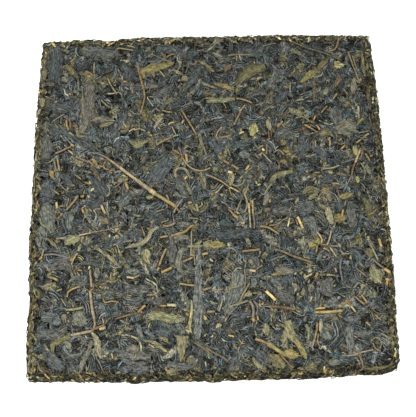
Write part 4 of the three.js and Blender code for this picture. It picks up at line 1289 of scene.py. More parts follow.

# %% [markdown]
# ## The leaves that catch the eye
#
# Olive, faded and slate leaves of some size are placed one by one too. A leaf changes its
# width, so each row names a shade and then triples: a point of the midrib, and the width there.
# The dark ones become a piece of their own, because they lie lower and are duller.

# %% Leaves read from the photo
LEAVES = (
    # Back left.
    ("moss", -84.2, 83, 1.6, -82, 80.4, 3.6, -79.4, 77, 3.2, -76, 74.2, 1.2),
    ("gold", -72.4, 78, 1.5, -70, 76, 3.2, -67.4, 74.6, 1.2),
    ("plum", -69, 74, 3, -69.4, 65, 7, -69.5, 55, 8, -70, 47, 7, -70.4, 42, 3),
    ("drab", -69.6, 48, 2, -71.4, 44, 4.6, -73.6, 39.4, 2.4),
    ("moss", -75.4, 76.6, 1.4, -71.6, 75.8, 3, -68, 73.6, 2.4, -64.6, 67, 1),
    ("olive", -75.4, 41, 1, -74.4, 37.6, 2.2, -70, 37.4, 1),
    ("slate", -92, 97, 5, -91, 90, 8.6, -91, 78, 8.6, -91.4, 72, 4),
    ("stone", -77, 92.6, 3, -70, 91.4, 7.4, -60, 89.8, 7, -54, 89, 2.4),
    ("umber", -95, 71.6, 1.6, -92.4, 71, 2.6, -90, 70.4, 1.2),
    ("slate", -94, 57, 4, -86, 56, 9, -76, 54, 3),
    ("ochre", -40.5, 76.8, 2.4, -34, 78.2, 5, -27, 79.8, 4.6, -19.5, 82, 1.6),
    ("ochre", -39, 77, 1.6, -37.6, 74.6, 2.4, -37, 72.4, 0.8),
    ("ochre", -33, 77, 2, -31.6, 75, 2, -31, 73, 0.8),
    ("drab", -36.5, 66.4, 1.4, -33, 67.2, 3.2, -29, 66.8, 1.2),
    ("lime", -19, 77, 1, -16.5, 75.2, 2, -14, 74, 0.8),
    ("olive", -15, 71.5, 1.6, -13, 71.6, 3.2, -11, 71.2, 1.4),
    ("slate", -52, 84, 3, -48, 78, 6.4, -46, 71, 3),
    ("slate", -30, 92, 3, -22, 91, 5.6, -14, 90, 3),
    ("slate", -12, 66, 3, -7, 74, 6, -4, 81, 2.6),
    ("stone", -32, 60, 3, -25, 64, 5, -19, 68, 2.4),
    ("olive", -20, 60, 1, -22, 58, 2.4, -24, 56, 1),
    # Back right.
    ("rust", 10.8, 75.6, 1.4, 12.4, 78, 3.4, 14.4, 80.2, 1.2),
    ("moss", 17, 67, 2, 21, 71, 5, 27, 76, 7.6, 35, 78, 4),
    ("gold", 4.6, 68.2, 1.2, 10, 66.4, 3.2, 15.4, 64.2, 1.2),
    ("olive", -3, 69, 0.8, 1.5, 66.8, 1.5, 6, 65, 0.8),
    ("olive", -0.5, 57, 1.4, 8, 57.6, 3.2, 16, 58.2, 1.6),
    ("stone", 24.4, 61, 2, 30, 62.2, 4.2, 36, 61, 1.6),
    ("moss", 44, 85, 2.4, 46, 84, 4.6, 48, 82.6, 2),
    ("slate", 38, 92, 3, 30, 87, 6, 22, 90, 3),
    ("slate", 40, 55, 3, 44, 62, 6.4, 46, 70, 3),
    ("stone", 36, 66, 3, 40, 71, 5.4, 42, 77, 2.6),
    ("fresh", 76, 79.4, 3.6, 78.4, 79.2, 4.6, 81.8, 78.8, 1.2),
    ("olive", 54, 77, 1.6, 56, 78.4, 3.2, 58, 79.8, 1.4),
    ("moss", 72.6, 83.4, 1.4, 69, 79.4, 3.4, 66, 76, 2.6),
    ("ochre", 65.4, 76.4, 2, 60.5, 72.2, 4, 55, 68, 1.2),
    ("rust", 76, 66.4, 1.4, 77.4, 69.4, 2.8, 78.6, 72.6, 1.2),
    ("lime", 68, 60, 1.4, 69.5, 62.5, 2.6, 71, 65, 1),
    ("drab", 86.4, 70, 1.6, 86, 65, 3.6, 85, 60, 1.4),
    ("olive", 93.4, 88, 1.2, 93, 80, 2.2, 93.6, 72, 1.2),
    ("umber", 94.6, 66, 1.2, 94, 58, 2.4, 94.4, 50, 1.2),
    ("olive", 50.5, 89.3, 1, 54, 87.6, 2.5, 57.4, 85.8, 0.9),
    # Left, back half.
    ("slate", -91, 45.6, 2, -84, 41.4, 4.4, -78, 37, 2),
    ("slate", -77.5, 37, 2.4, -71, 33.6, 6, -64, 29, 2.6),
    ("stone", -94, 38, 4, -92.6, 31, 8.4, -92.6, 24, 4),
    ("olive", -96.8, 62.4, 2, -96.4, 59.6, 3.8, -96.2, 56.8, 2),
    ("moss", -96, 86, 1.4, -96, 80, 2.6, -96.2, 74, 1.4),
    ("slate", -91.5, 10.6, 4, -91, 5, 9, -91.4, -0.6, 4),
    ("mist", -64.6, 33.4, 1.4, -63, 32, 2.6, -61.6, 30.6, 1.2),
    ("mist", -59.4, 30.4, 1.6, -57.6, 29, 3, -55.6, 27.6, 1.4),
    ("slate", -84, 15, 3, -80, 11.4, 5, -77, 7, 2.4),
    ("slate", -64, 12, 3, -60, 6, 5.6, -58, 1, 2.4),
    ("slate", -56, 43, 2.6, -52.4, 36, 5, -52, 28, 2.4),
    ("gold", -89.4, 17.6, 1.4, -88.6, 15, 2.8, -87.8, 12.4, 1.2),
    ("umber", -66, 19.4, 1.2, -63.5, 14.5, 2.6, -61, 9.6, 1),
    ("olive", -62.5, 43.8, 1.4, -58.5, 44.6, 2.8, -54.5, 45.2, 1.2),
    ("amber", -66.2, 23.8, 1, -64.6, 21.6, 1.8, -63.2, 19.8, 1),
    # Middle, back half.
    ("olive", -45.8, 33.8, 0.8, -42.6, 32.4, 3, -40, 31.2, 5.2, -37.4, 32.4, 3, -34, 33.8, 0.8),
    ("bone", -26.2, 47.6, 1.4, -28.6, 45, 2.2, -31, 41, 1),
    ("drab", -68, 47.4, 2, -61.6, 48, 4.4, -55.6, 47.4, 1.6),
    ("slate", -20.4, 25, 3, -24.6, 18.4, 7.6, -29, 12.4, 8.6, -35, 6.6, 4),
    ("bone", -18.6, 11.4, 1, -19.2, 14.6, 1.6, -16.4, 16.6, 1.6, -13, 15.6, 1.6, -10.6, 11, 1),
    ("stone", -17.6, 12, 2, -16, 6, 5, -12.6, 0, 2.4),
    ("olive", -12.6, 7, 1, -11.4, 4, 2, -10, 1, 1),
    ("olive", -4.6, 14, 1.6, -3.4, 9, 3.2, -2.4, 4, 1.4),
    ("fresh", 26.6, 42.4, 2.4, 26.4, 39.6, 5, 25, 35.4, 2.6),
    ("bone", 34.4, 45, 1.4, 35, 41.5, 3, 35.5, 38.4, 1.2),
    ("tan", 42.8, 26, 1, 44.2, 25.8, 2.8, 45.6, 25.2, 1),
    ("gold", 40.6, 19.8, 1, 42.5, 19.4, 2.8, 44.4, 19, 1),
    ("brown", 5.4, 24.4, 1.2, 7.4, 22.2, 2.8, 9.2, 20, 1.2),
    ("olive", 12.6, 14, 2, 12.6, 10, 3.4, 12, 6, 1.6),
    ("tan", 21, 11, 1, 22.8, 10.9, 2, 24.6, 10.4, 1),
    ("olive", 47.5, 13.6, 1.4, 42, 12.4, 3.2, 37, 10.4, 3.2, 34.6, 8, 1.6),
    ("moss", 45.4, 14.6, 0.9, 47.6, 15.6, 1.2, 48.6, 13.2, 1.2, 46.4, 12.4, 0.9),
    ("mist", 17.6, 24.4, 2, 20.5, 24.2, 4.8, 23.4, 23.2, 2),
    ("mist", 28, 19.6, 1.6, 30.6, 17.4, 4.4, 33.6, 15, 1.6),
    ("slate", 2, 32, 3, 6, 28, 5, 11, 30, 2.6),
    ("stone", 38, 33, 3, 43, 37, 5.4, 49, 38, 2.6),
    ("slate", 14, 31, 2.4, 19, 30, 5, 24, 31, 2.4),
    # Right, back half.
    ("drab", 73.8, 37.4, 3.4, 77.4, 39, 8.6, 82, 39.8, 10, 85.2, 39.4, 7),
    ("stone", 73, 52, 5, 74, 47, 8, 75.4, 42, 4),
    ("olive", 64.2, 35.6, 2, 67.4, 36.4, 5, 71, 37, 1.6),
    ("slate", 62, 8.4, 2, 66, 8, 5, 70, 7.4, 2),
    ("slate", 60, 29, 3, 64, 24, 5.4, 66, 19, 2.6),
    ("slate", 53, 35, 3, 54, 28, 6, 52, 20, 3),
    ("fresh", 83.2, 28, 1.6, 83.5, 25, 3.2, 83.8, 22.2, 1.4),
    ("olive", 78.4, 26, 1, 79, 24, 2.2, 79.4, 22, 1),
    ("fresh", 83.2, 10, 1.2, 83.5, 8, 2.4, 83.7, 6, 1),
    ("brown", 72, 12, 0.9, 75, 11.2, 2.4, 78, 9.8, 0.9),
    ("brown", 76.2, 14.6, 1, 77.6, 13.4, 2.2, 79, 12, 1),
    ("moss", 52, 0.6, 1.6, 57, 2.6, 4.4, 61.4, 1.4, 1.8),
    ("gold", 63, 2.8, 1.4, 65, 2, 3, 67, 0.8, 1.4),
    # Left, front half.
    ("mist", -91, -2, 4, -90.4, -8, 9, -89, -14, 8.4, -87.4, -19.6, 3),
    ("mist", -93.4, -15.6, 3, -93, -21.5, 7.4, -93, -27.4, 3),
    ("brown", -61, -12.4, 1.8, -58.4, -13.2, 4.4, -56, -14.4, 1.8),
    ("mist", -77, -8, 2.4, -77.6, -13.5, 5, -78, -18.4, 2.4),
    ("slate", -70, -4, 3, -64, -3.6, 5, -60, -0.6, 2.6),
    ("stone", -88, -40, 3, -80, -37, 6.4, -76, -41, 3),
    ("stone", -76, -45, 3, -71, -47, 5.6, -68, -44, 2.4),
    ("olive", -79.8, -25.8, 1.8, -76, -23.8, 5.4, -71.6, -22.4, 2.4),
    ("olive", -89, -22.6, 1, -86, -26, 1.9, -83.3, -28.8, 0.9),
    ("olive", -85, -24.4, 1, -83.7, -24.3, 2, -82.3, -24.1, 1),
    ("olive", -71, -26.3, 1, -71.6, -28.2, 1.8, -72.2, -30.1, 0.9),
    ("olive", -67.4, -29.2, 1.2, -66.4, -29.3, 2, -65.3, -29.6, 1.2),
    ("olive", -63.7, -27.8, 1, -60.8, -29.5, 1.4, -57, -32.2, 2, -54, -35, 2.6, -51.6, -37.2, 1.4),
    ("stone", -73, -37.6, 1, -70, -36.8, 2, -64, -37.4, 2.4, -59, -38.6, 2.2, -55, -39.6, 1),
    ("drab", -62.3, -39.4, 1.6, -62.2, -42, 3.6, -62, -45.4, 1.4),
    ("drab", -73.6, -64, 4, -71.4, -67, 7.6, -69, -71, 4),
    ("moss", -85.4, -84.6, 1.2, -85, -80.6, 2.6, -81, -79, 3, -77.4, -76.6, 2.4, -76, -74.6, 1),
    ("mist", -78.6, -79.6, 1, -79, -83, 1.6, -75.6, -86.4, 1.6, -71, -86, 1.6, -68, -82.4, 1),
    ("mist", -76.6, -79, 1, -72.4, -76.6, 1.6, -68.4, -78.6, 1.8, -67.4, -81.4, 1),
    ("char", -76, -80.8, 1.6, -73, -81, 3, -70.4, -81.2, 1.6),
    ("slate", -90, -84, 3, -84, -90, 7, -80, -94, 3),
    ("stone", -95, -76, 4, -86, -75.6, 7.4, -76, -77.6, 3),
    ("ash", -92, -66, 4, -86, -66.6, 6.6, -82, -70, 3),
    ("bone", -79.9, -64.6, 1.4, -79.5, -66.3, 3, -79, -68.2, 1.2),
    ("bone", -64.4, -74.4, 1.4, -61.6, -78.8, 3.2, -61, -83, 3.4, -59.6, -88, 1.2),
    ("drab", -64.4, -78.4, 1.2, -65.6, -82.6, 2.2, -67.4, -87, 2.2),
    ("drab", -67, -86, 2.2, -69.6, -91, 2.8, -71.4, -97, 1.2),
    # Middle, front half.
    ("lime", -35.4, -0.1, 1.2, -33.3, -0.1, 2.4, -31.4, 0.2, 1.2),
    ("olive", -42.4, -9.7, 1, -40, -10.5, 1.5, -38.5, -10.6, 0.8),
    ("ash", -43.6, 3, 2.4, -46.6, -1, 5, -50, -5, 2.4),
    ("slate", -36, -8, 3, -30, -11, 5.6, -24, -12, 3),
    ("slate", -45, -20, 3, -41, -21.6, 4.4, -37.6, -20.4, 2.4),
    ("bone", -46.6, -28.8, 1, -42.4, -27.2, 2, -38, -26.4, 2.2, -34.5, -23.8, 2.4, -31.2, -18.8, 2,
     -28.3, -17.2, 1),
    ("stone", -23.7, -20.1, 0.8, -21.6, -23.8, 1.8, -21.2, -27.2, 4.6, -21, -33, 4.4, -21.4, -39, 2),
    ("lime", -35.6, -29.4, 2.2, -35, -32.5, 5, -35, -35.5, 3.2, -33.6, -37.8, 1.2),
    ("drab", -12.4, -29.6, 1.2, -15.4, -30.6, 2.6, -17.6, -35, 3.2, -17.6, -40, 2.8, -15, -43, 1.2),
    ("olive", -12.8, -28.4, 1.2, -8, -28.6, 2, -4, -28.4, 1),
    ("lime", -4, -27.4, 2.4, -2, -27.6, 3.6, 0, -28, 2),
    ("ochre", -0.6, -27.4, 3, 4, -27.6, 4, 8.4, -28.4, 1.6),
    ("mist", -6.2, -29.6, 2, -6.6, -40, 3.6, -7, -50, 4.2, -7, -60, 4.8, -7.6, -70, 4.4, -8, -80, 2.4),
    ("mist", -46.4, -41.4, 2, -42.6, -41.4, 3.4, -38.8, -41.6, 1.6),
    ("stone", -47, -50, 3, -41, -52, 7, -34, -51, 3),
    ("stone", -33, -57, 3, -29, -58.6, 5, -25, -57, 2.4),
    ("plum", -18, -15.4, 2, -14, -16, 3.6, -10.3, -16.6, 1.6),
    ("drab", -20, -23.2, 2, -16, -23.3, 4, -11.6, -23.6, 1.6),
    ("olive", -34.6, -66, 3, -30, -66, 4.4, -24, -66.8, 4.6, -18, -68, 4, -14.5, -67.8, 1.6),
    ("fresh", -10.8, -58, 0.9, -10.8, -63.8, 1.5, -11.6, -68.8, 1.6, -12.2, -72.2, 1.5,
     -11.2, -75.1, 0.8),
    ("olive", -16, -76.6, 7.4, -16.2, -81, 6.2, -16.6, -86, 3.4, -17, -90, 0.8),
    ("mist", -18.8, -70.6, 2, -16.8, -73, 4.4, -15.2, -76, 1.8),
    ("mist", -39.2, -70, 1.6, -38.6, -75, 2.8, -36.2, -79.2, 1.4),
    ("stone", -50, -86, 4, -42, -87.6, 9, -33, -87.4, 4),
    ("slate", -50, -93.6, 3, -42, -94, 5, -34, -93, 2.4),
    ("slate", -46, -57.6, 3, -42, -58, 5.4, -37, -56.4, 2.4),
    ("olive", -36, -78.9, 1, -31.4, -79.8, 1.9, -27.4, -82.8, 1.9, -24.4, -84.8, 0.9),
    ("drab", -46, -83, 2, -42.6, -82.4, 4, -39.6, -83.4, 2),
    ("umber", -9.5, -80.1, 1.4, -4.9, -82.6, 2, 0, -86, 1.4),
    ("stone", -26, -91, 3, -18, -92.6, 4.6, -10, -92, 2.4),
    ("slate", -30, -73, 3, -26, -74.6, 5, -22, -74, 2.4),
    ("olive", -24.6, -95, 1.8, -21.6, -95.1, 3, -18.6, -95.2, 1.4),
    # Middle right, front half.
    ("olive", 4.4, 0, 0.9, 2.4, -2, 1.9, 0.5, -3.8, 0.9),
    ("slate", 22, 2, 1.4, 22.3, -1, 3, 22, -4, 1.4),
    ("slate", 0, -22, 2.4, 8, -22, 5, 18, -22.2, 5, 25.4, -21.8, 2.4),
    ("slate", 18.8, -33.8, 1, 23, -35.5, 1.9, 25.5, -38, 1),
    ("lime", 20.8, -36.8, 1.2, 21.8, -37.6, 2.3, 22.9, -38.6, 1),
    ("mist", 15, -42, 4, 14.6, -49, 7, 12.4, -57, 9.4, 9.4, -63, 6, 8, -67, 2),
    ("stone", 22, -36, 2.4, 24, -39.6, 4.6, 22.4, -42, 2),
    ("olive", 11.7, -44.4, 0.8, 11.9, -48, 1.4, 11.6, -51, 0.7),
    ("tan", 49.7, -1.8, 1, 48.8, -3.6, 2, 48, -5.5, 1),
    ("drab", 33, 1.4, 1.6, 31.8, -2.2, 3.4, 30.6, -6, 1.4),
    ("stone", 34, -8, 3, 40, -9.4, 6, 46, -9, 3),
    ("slate", 32, -48, 3, 38, -48.6, 5, 45, -47.6, 2.4),
    ("drab", 34.8, -42, 2, 39, -42.8, 4.4, 45.2, -43.4, 2),
    ("gold", 33, -45.1, 1.2, 36, -44.9, 1.7, 40, -44.7, 0.9),
    ("lime", 40.6, -70, 3.4, 41.4, -73.4, 5.2, 42.4, -78, 4.2, 44, -81, 2.4),
    ("ochre", 43, -78, 1.4, 46, -83, 2.8, 48.6, -87, 3, 49.8, -90, 1),
    ("olive", 29, -71, 1.4, 29, -73.8, 3.6, 29.4, -77.4, 1.2),
    ("lime", 2, -71.2, 0.9, 3.5, -71.3, 1.8, 5, -71.4, 0.9),
    ("olive", 21.3, -88.8, 1, 23.8, -92.6, 2, 25.5, -94.3, 1),
    ("moss", 30, -88, 2.4, 34, -90.6, 6, 38, -94, 2.4),
    ("ochre", 37.6, -86.6, 2.4, 41, -87.2, 5.6, 45.6, -88.4, 2),
    ("slate", 23, -85, 2.4, 26, -88, 5.6, 29, -91.4, 2.4),
    ("slate", 14, -84, 3, 12, -91, 5.4, 8, -95, 2.4),
    ("stone", 34.6, -55.6, 3, 39.4, -57, 7.6, 44.6, -59.6, 3),
    ("bone", 45.4, -50, 1.4, 45.8, -52, 3, 45.4, -54.4, 1.2),
    # Right, front half.
    ("ash", 47.6, -7.6, 4, 51, -7.6, 8, 55, -7.6, 7.6, 58.4, -8, 2.4),
    ("mist", 51.6, -15.4, 3, 55.6, -16, 6.4, 57.4, -20, 5, 57.8, -25, 2.4),
    ("olive", 55.5, -3.4, 1, 57.6, -1.3, 2.6, 60.5, -0.1, 1.2),
    ("olive", 63, 1.2, 1, 65.8, -0.4, 2.6, 67.6, -4.7, 1.2),
    ("ochre", 72.6, -2.4, 1.4, 77, -1.4, 3.6, 80.6, -0.6, 1.4),
    ("bone", 65.2, -7.6, 2.8, 66.2, -12, 3.8, 67.2, -17.4, 2.4),
    ("olive", 61, -6.4, 1, 63, -7.6, 2, 65, -8.8, 1.4),
    ("ochre", 69, -14.4, 3.4, 72, -14.2, 5.4, 75.2, -14, 3),
    ("slate", 72.2, -4.4, 2.4, 72.2, -7.4, 5, 72.2, -10.2, 2),
    ("stone", 78.4, -5, 3, 78.6, -13, 5.6, 78.8, -21, 3),
    ("moss", 86, -3, 1.6, 88.4, -9, 4.4, 88.8, -16, 1.8),
    ("moss", 86.6, -31.8, 1.6, 87, -34.5, 4.4, 88.2, -37, 1.6),
    ("mist", 60.6, -32.6, 1, 59.6, -35.4, 2.4, 58, -38, 1),
    ("stone", 66, -48, 3, 62, -53, 6, 66, -57, 3),
    ("slate", 76, -33, 2.4, 80, -36, 4.4, 82, -40, 2),
    ("ash", 80, -70, 2.4, 76, -71, 4.4, 71, -69.6, 2),
    ("stone", 76, -77.6, 2, 81, -79, 4.6, 86, -78.6, 2),
    ("olive", 88, -40.8, 1.2, 88.2, -44, 3.4, 89.6, -47.4, 7, 91, -51, 3.4),
    ("lime", 83.7, 1, 0.9, 83.8, -0.5, 1.5, 83.8, -2, 0.9),
    ("mist", 59.8, -62.6, 1.6, 64.6, -61.6, 4.2, 69, -62.2, 3.4),
    ("bone", 68, -63, 1.4, 71.4, -62.8, 3.6, 74.6, -63.4, 1.2),
    ("mist", 57, -67.4, 1.6, 62, -67.6, 3, 67, -68, 1.2),
    ("flame", 72.2, -60.4, 1.2, 73.6, -61.2, 2.4, 75.4, -62.2, 1.2),
    ("lime", 81, -52.6, 1, 82.2, -52.6, 2, 83.4, -52.4, 1),
    ("olive", 88.4, -56, 1.2, 88.4, -57.6, 2.5, 88.4, -59.4, 1),
    ("bone", 58.6, -69.7, 1.2, 58.4, -73, 2.2, 58.2, -77.5, 1),
    ("olive", 60.9, -73, 0.9, 62.8, -73.8, 1.8, 64.7, -74.7, 0.9),
    ("mist", 60.4, -73.8, 3, 61, -77, 7, 63.4, -80.4, 2.6),
    ("drab", 54, -51, 1.8, 54, -53, 3.6, 54, -55, 1.8),
    ("mist", 75.8, -84.4, 2, 77.6, -86.2, 4, 79.6, -87.4, 2),
    ("mist", 74, -73, 2.4, 73.6, -80, 4.8, 73.4, -86, 4, 73.4, -90, 1.4),
    ("drab", 61.4, -92.2, 2, 64.4, -92.4, 4.2, 67.4, -92.6, 2),
    ("moss", 81.3, -97.2, 0.8, 89, -96.4, 1.6, 97.2, -95.1, 0.8),
    ("olive", 50.4, -72, 1, 51.8, -76, 1.8, 50.6, -82, 1),
)

# %% [markdown]
# ## Bright flecks
#
# Broken stems leave short bright crumbs, often lighter than anything round them. Each row
# names a shade and then triples: the place of a fleck, and its size.

# %% Flecks read from the photo
FLECKS = (
    ("amber", -53, 49, 1.6, -71, 1.2, 1.8, -67.5, 1, 1.5, -74, 1.2, 1.6, -51.4, -18.4, 2.2),
    ("amber", -50.8, -22.2, 2.2, -92.8, -33.8, 2.0, -11, -3.6, 1.9, -34.1, -18, 1.1),
    ("amber", 33.8, -3.6, 1.6, 76.5, -37, 1.8, 86.8, -27, 1.4, 58.8, -62.4, 1.6, -13, 11, 2.0),
    ("amber", -14.5, 44.5, 1.8, 28.5, 81, 1.3, -67, 9.3, 1.7, -25, -93.8, 1.8, -50, 74, 1.3),
    ("amber", -30.2, 48.8, 1.4, -45, 49.4, 1.4, -72.6, 51.6, 1.3, -69.6, 74.8, 2.0),
    ("orange", -79.6, 77, 1.6, -27.4, 47.8, 1.4, -83.6, 78.6, 1.2, -94.6, 65.6, 1.6),
    ("amber", 97.8, 8, 1.7, -80.5, 64, 1.2, -88.5, 59.5, 1.2, 26, -61.2, 1.6, 27.6, -60.6, 1.4),
    ("amber", 47.5, -97.5, 1.6, -34, 38.5, 1.4, -32.8, 36.8, 1.3, -60.8, 19, 1.4, 46, -44.6, 1.4),
    ("flame", -7, 81, 1.5, 22.5, 66.5, 1.4, -85.3, -7.5, 1.3, -56.8, -43.8, 1.8, -14.5, -63, 1.6),
    ("flame", -13.3, -65.5, 1.8, 69.2, 32.6, 2.0, -23.7, -5.2, 1.9, -37.5, 40, 1.4, 34.7, 33, 1.3),
    ("flame", -87, 17, 1.3, -87, 12, 1.2, -76.5, 7.8, 1.6, 29.5, 23.5, 1.2, 31.8, 32.3, 1.4),
    ("flame", 60.4, 43, 1.4, -85, -57, 1.2, -3.8, -91, 1.4, 96, -76, 1.4, -61, -99.6, 1.8),
    ("flame", -12, -99.4, 2.6, -0.3, -100.4, 2.4, 65, 15, 1.4, -20.6, 96.6, 2.6, -24.4, 94.8, 2.0),
    ("orange", 5, -7, 2.0, 40.8, 41.5, 2.4, 1.6, 5.2, 2.2, 18.8, -63.6, 2.0, 92.4, 22, 1.4),
    ("lime", -0.3, -41, 1.3, -26, -51.1, 1.4, 27.2, -32.6, 1.5, 28.8, -20.7, 1.5),
    ("lime", -16.5, 70.5, 1.5, -79.8, -31, 1.2, -80, -37.5, 1.2, -76, -81.5, 2.4, 93.8, -92.2, 1.4),
    ("lime", 19, 38.6, 1.8, 38.2, -72.4, 2.0, 4, -71, 2.2, 51, -46, 1.8, 49, -44.4, 1.6),
    ("pearl", -65.5, 5, 1.8, -55.3, -21.8, 1.3, 31.3, 26.8, 1.5),
    ("fresh", 26.5, 7.2, 1.5, 28, 6, 1.5),
    ("pearl", 0.5, -36, 1.8, 18.2, -15.8, 1.9, -66.6, -39.5, 1.6, 3, -71.8, 1.4),
    ("bone", 68.8, -10.5, 1.2, 47, -26, 1.3, 46.6, -22.4, 2.6, 61, -3, 1.3, -28.4, 94, 1.4),
    ("tan", -15, 40, 1.6, 55.5, 13.5, 1.8, -40, -30, 1.6, -8.6, -89.7, 1.6, -58.7, -86.8, 1.4),
    ("tan", -80.5, -65.5, 1.3, -78.6, -68.6, 1.2, -77, -68.4, 1.2, -74.5, -70.1, 1.2),
    ("tan", -36, 90, 1.5, 47.5, 22, 1.6, 31, 71, 2.2),
    ("moss", -81, -4.3, 1.4, -53.2, -30.9, 1.4, 88, -83.5, 2.0, 46.8, 14, 1.4),
    ("char", -40.8, -100.4, 3.0, -36, -100, 2.2, -55.3, -20.2, 1.6, -83, 33, 2.6, 78, 33, 2.4),
)

# %% [markdown]
# ## Laying a stem or a leaf along its line
#
# A smooth curve through the points carries the shape. Both ends dip under the surface,
# because in a pressed brick nearly every stem and leaf is held down by others. A thick stem
# also presses a hollow into the leaves under it, where its shadow falls, so a wider dark
# strip goes under it as a painted shadow.

# %% A smooth curve, and a shape along it
NAMED_SPREAD = 0.06


def smooth_line(points, parts):
    """Values and heading of a smooth curve through the points, at parts between 0 and 1."""
    points = np.array(points, float)
    gaps = np.hypot(*np.diff(points[:, :2], axis=0).T)
    reach = np.concatenate([[0], np.cumsum(gaps)])
    slope = np.gradient(points, reach, axis=0)
    at = parts * reach[-1]
    k = np.clip(np.searchsorted(reach, at, side="right") - 1, 0, len(gaps) - 1)
    gap = gaps[k][:, None]
    s = (at - reach[k])[:, None] / gap
    start, end = points[k], points[k + 1]
    leave, arrive = slope[k] * gap, slope[k + 1] * gap
    value = (
        (2 * s**3 - 3 * s**2 + 1) * start + (s**3 - 2 * s**2 + s) * leave
        + (3 * s**2 - 2 * s**3) * end + (s**3 - s**2) * arrive
    )
    run = (
        (6 * s**2 - 6 * s) * (start - end) + (3 * s**2 - 4 * s + 1) * leave
        + (3 * s**2 - 2 * s) * arrive
    )
    heading = run[:, :2] / np.hypot(run[:, 0], run[:, 1])[:, None]
    return value, heading, reach[-1]


def lay_along(shape, line, thick, lift, dip, ragged, crumple, curl=0.0):
    """One copy of the shape, laid along a line of places on the face and widths there."""
    value, heading, length = smooth_line(line, shape["points"][:, 0] + 0.5)
    widths = value[:, 2]
    size = [np.array([length]), np.array([1.0]), np.array([thick])]
    along, across, over, x = stretch(shape, size, ragged, crumple)
    flat = across[0] * widths
    rise = lift - dip * np.abs(2 * x) ** 4 + curl * widths * (2 * across[0]) ** 2
    u = value[:, 0] - heading[:, 1] * flat
    v = value[:, 1] + heading[:, 0] * flat
    return wrap_face(u, v, rise + over[0] + relief(u, v)), np.stack([along[0], flat], -1)


def named_batch(shape, rows, gain):
    """All rows laid and joined: each is a shade, a line of points and how it lies."""
    points, grain, shades = [], [], []
    for index, (shade, line, laid) in enumerate(rows):
        place, run = lay_along(shape, line, **laid)
        points.append(place)
        grain.append(np.c_[run, np.full(len(run), index)])
        # The placed pieces get the same painted light: lighter in front and to the left.
        tint = painted_light_lean(*line.mean(axis=0)[:2])
        shades.append(draw_shades((shade,), (1,), 1, NAMED_SPREAD, gain=gain * tint)[0])
    return shape, np.array(points), np.array(grain), np.array(shades)


print("stems:", len(STEMS), "leaves:", len(LEAVES))

# %% [markdown]
# A stem is round until it is as thick as the gap over the leaves lets it be, and keeps its
# width from end to end. Its top gets a painted highlight and its sides a painted shade. Its
# painted shadow, a dark strip, follows the same line.

# %% Stems and their painted shadows
STEM_WIDTH = 0.85
STEM_HEIGHT = 0.8
STEM_HIGHEST = 1.3
SHADOW_FROM = 1.2
SHADOW_EXTRA = 1.2
# Painted highlight: how much lighter a stem is drawn along its top than its own shade.
STEM_CREST_HIGHLIGHT = 0.3


def even_line(numbers, width):
    """A row's points as a line with the same width all along."""
    line = np.reshape(numbers, (-1, 2))
    return np.c_[line, np.full(len(line), width)]


def stem_rows():
    rows = []
    for shade, width, *numbers in STEMS:
        thick = min(width * STEM_HEIGHT, STEM_HIGHEST)
        laid = {"thick": thick, "lift": 0.25, "dip": 0.4, "ragged": 0.06, "crumple": 0.0}
        rows.append((shade, even_line(numbers, width * STEM_WIDTH), laid))
    return rows


def stem_shadow_rows():
    """A painted shadow: a dark strip, a little wider than a thick stem, in the hollow it presses."""
    laid = {"thick": 0.3, "lift": 0.06, "dip": 0.3, "ragged": 0.35, "crumple": 0.0}
    return [
        ("char", even_line(numbers, width + SHADOW_EXTRA), laid)
        for shade, width, *numbers in STEMS if width >= SHADOW_FROM
    ]


make_piece("face_stems", stem_bark, [
    named_batch(stem_shape, stem_rows(), STEM_GAIN),
], STEM_RIM_SHADING, STEM_CREST_HIGHLIGHT, smooth=True)
# A painted shadow under each thick stem.
make_piece("stem_shadows", dark_leaf, [
    named_batch(strip_shape, stem_shadow_rows(), LEAF_GAIN),
], FLAT_RIM_SHADING)

# %% [markdown]
# The flecks are crumbs of their own size, turned at random where they lie.

# %% Flecks
FLECK_SIZE = (1.2, 0.85)
FLECK_THICK = 0.6
FLECK_LIFT = 0.2
FLECK_SPREAD = 0.1


def fleck_batch():
    """Every listed fleck: a short crumb at its spot, turned at random."""
    spots = np.concatenate([np.reshape(numbers, (-1, 3)) for _, *numbers in FLECKS])
    names = [name for name, *numbers in FLECKS for _ in range(len(numbers) // 3)]
    count = len(spots)
    size = [spots[:, 2] * share for share in FLECK_SIZE] + [np.full(count, FLECK_THICK)]
    angle = rng.uniform(0, math.pi * 2, count)
    lift = np.full(count, FLECK_LIFT)
    points, grain = lay_loose(scrap_shape, wrap_face, spots.T, angle, size, lift, CRUMB)
    shades = [draw_shades((name,), (1,), 1, FLECK_SPREAD, gain=LEAF_GAIN) for name in names]
    print("flecks:", count)
    return scrap_shape, points, grain, np.concatenate(shades)


make_piece("bright_flecks", stem_bark, [fleck_batch()], STEM_RIM_SHADING)

# %% [markdown]
# A placed leaf is thin and lies almost level with the rest. The dark ones lie lower, and the
# others a little proud, so that no shred of the random layers crosses them.

# %% Placed leaves
DARK_LEAVES = ("slate", "plum", "ash", "char", "stone", "mist")
DARK_LIFT = 0.02
LIGHT_LIFT = 0.22
LEAF_CURL = 0.05


def leaf_rows(dark):
    rows = []
    for shade, *numbers in LEAVES:
        if (shade in DARK_LEAVES) == dark:
            laid = {"thick": 0.35, "lift": DARK_LIFT if dark else LIGHT_LIFT, "dip": 0.35,
                    "ragged": 0.24, "crumple": 0.14, "curl": rng.uniform(-LEAF_CURL, LEAF_CURL)}
            rows.append((shade, np.reshape(numbers, (-1, 3)), laid))
    return rows


make_piece("olive_leaves", broad_leaf, [
    named_batch(whole_leaf_shape, leaf_rows(False), LEAF_GAIN),
], BROAD_RIM_SHADING)
make_piece("slate_leaves", broad_dark_leaf, [
    named_batch(whole_leaf_shape, leaf_rows(True), LEAF_GAIN),
], BROAD_RIM_SHADING)

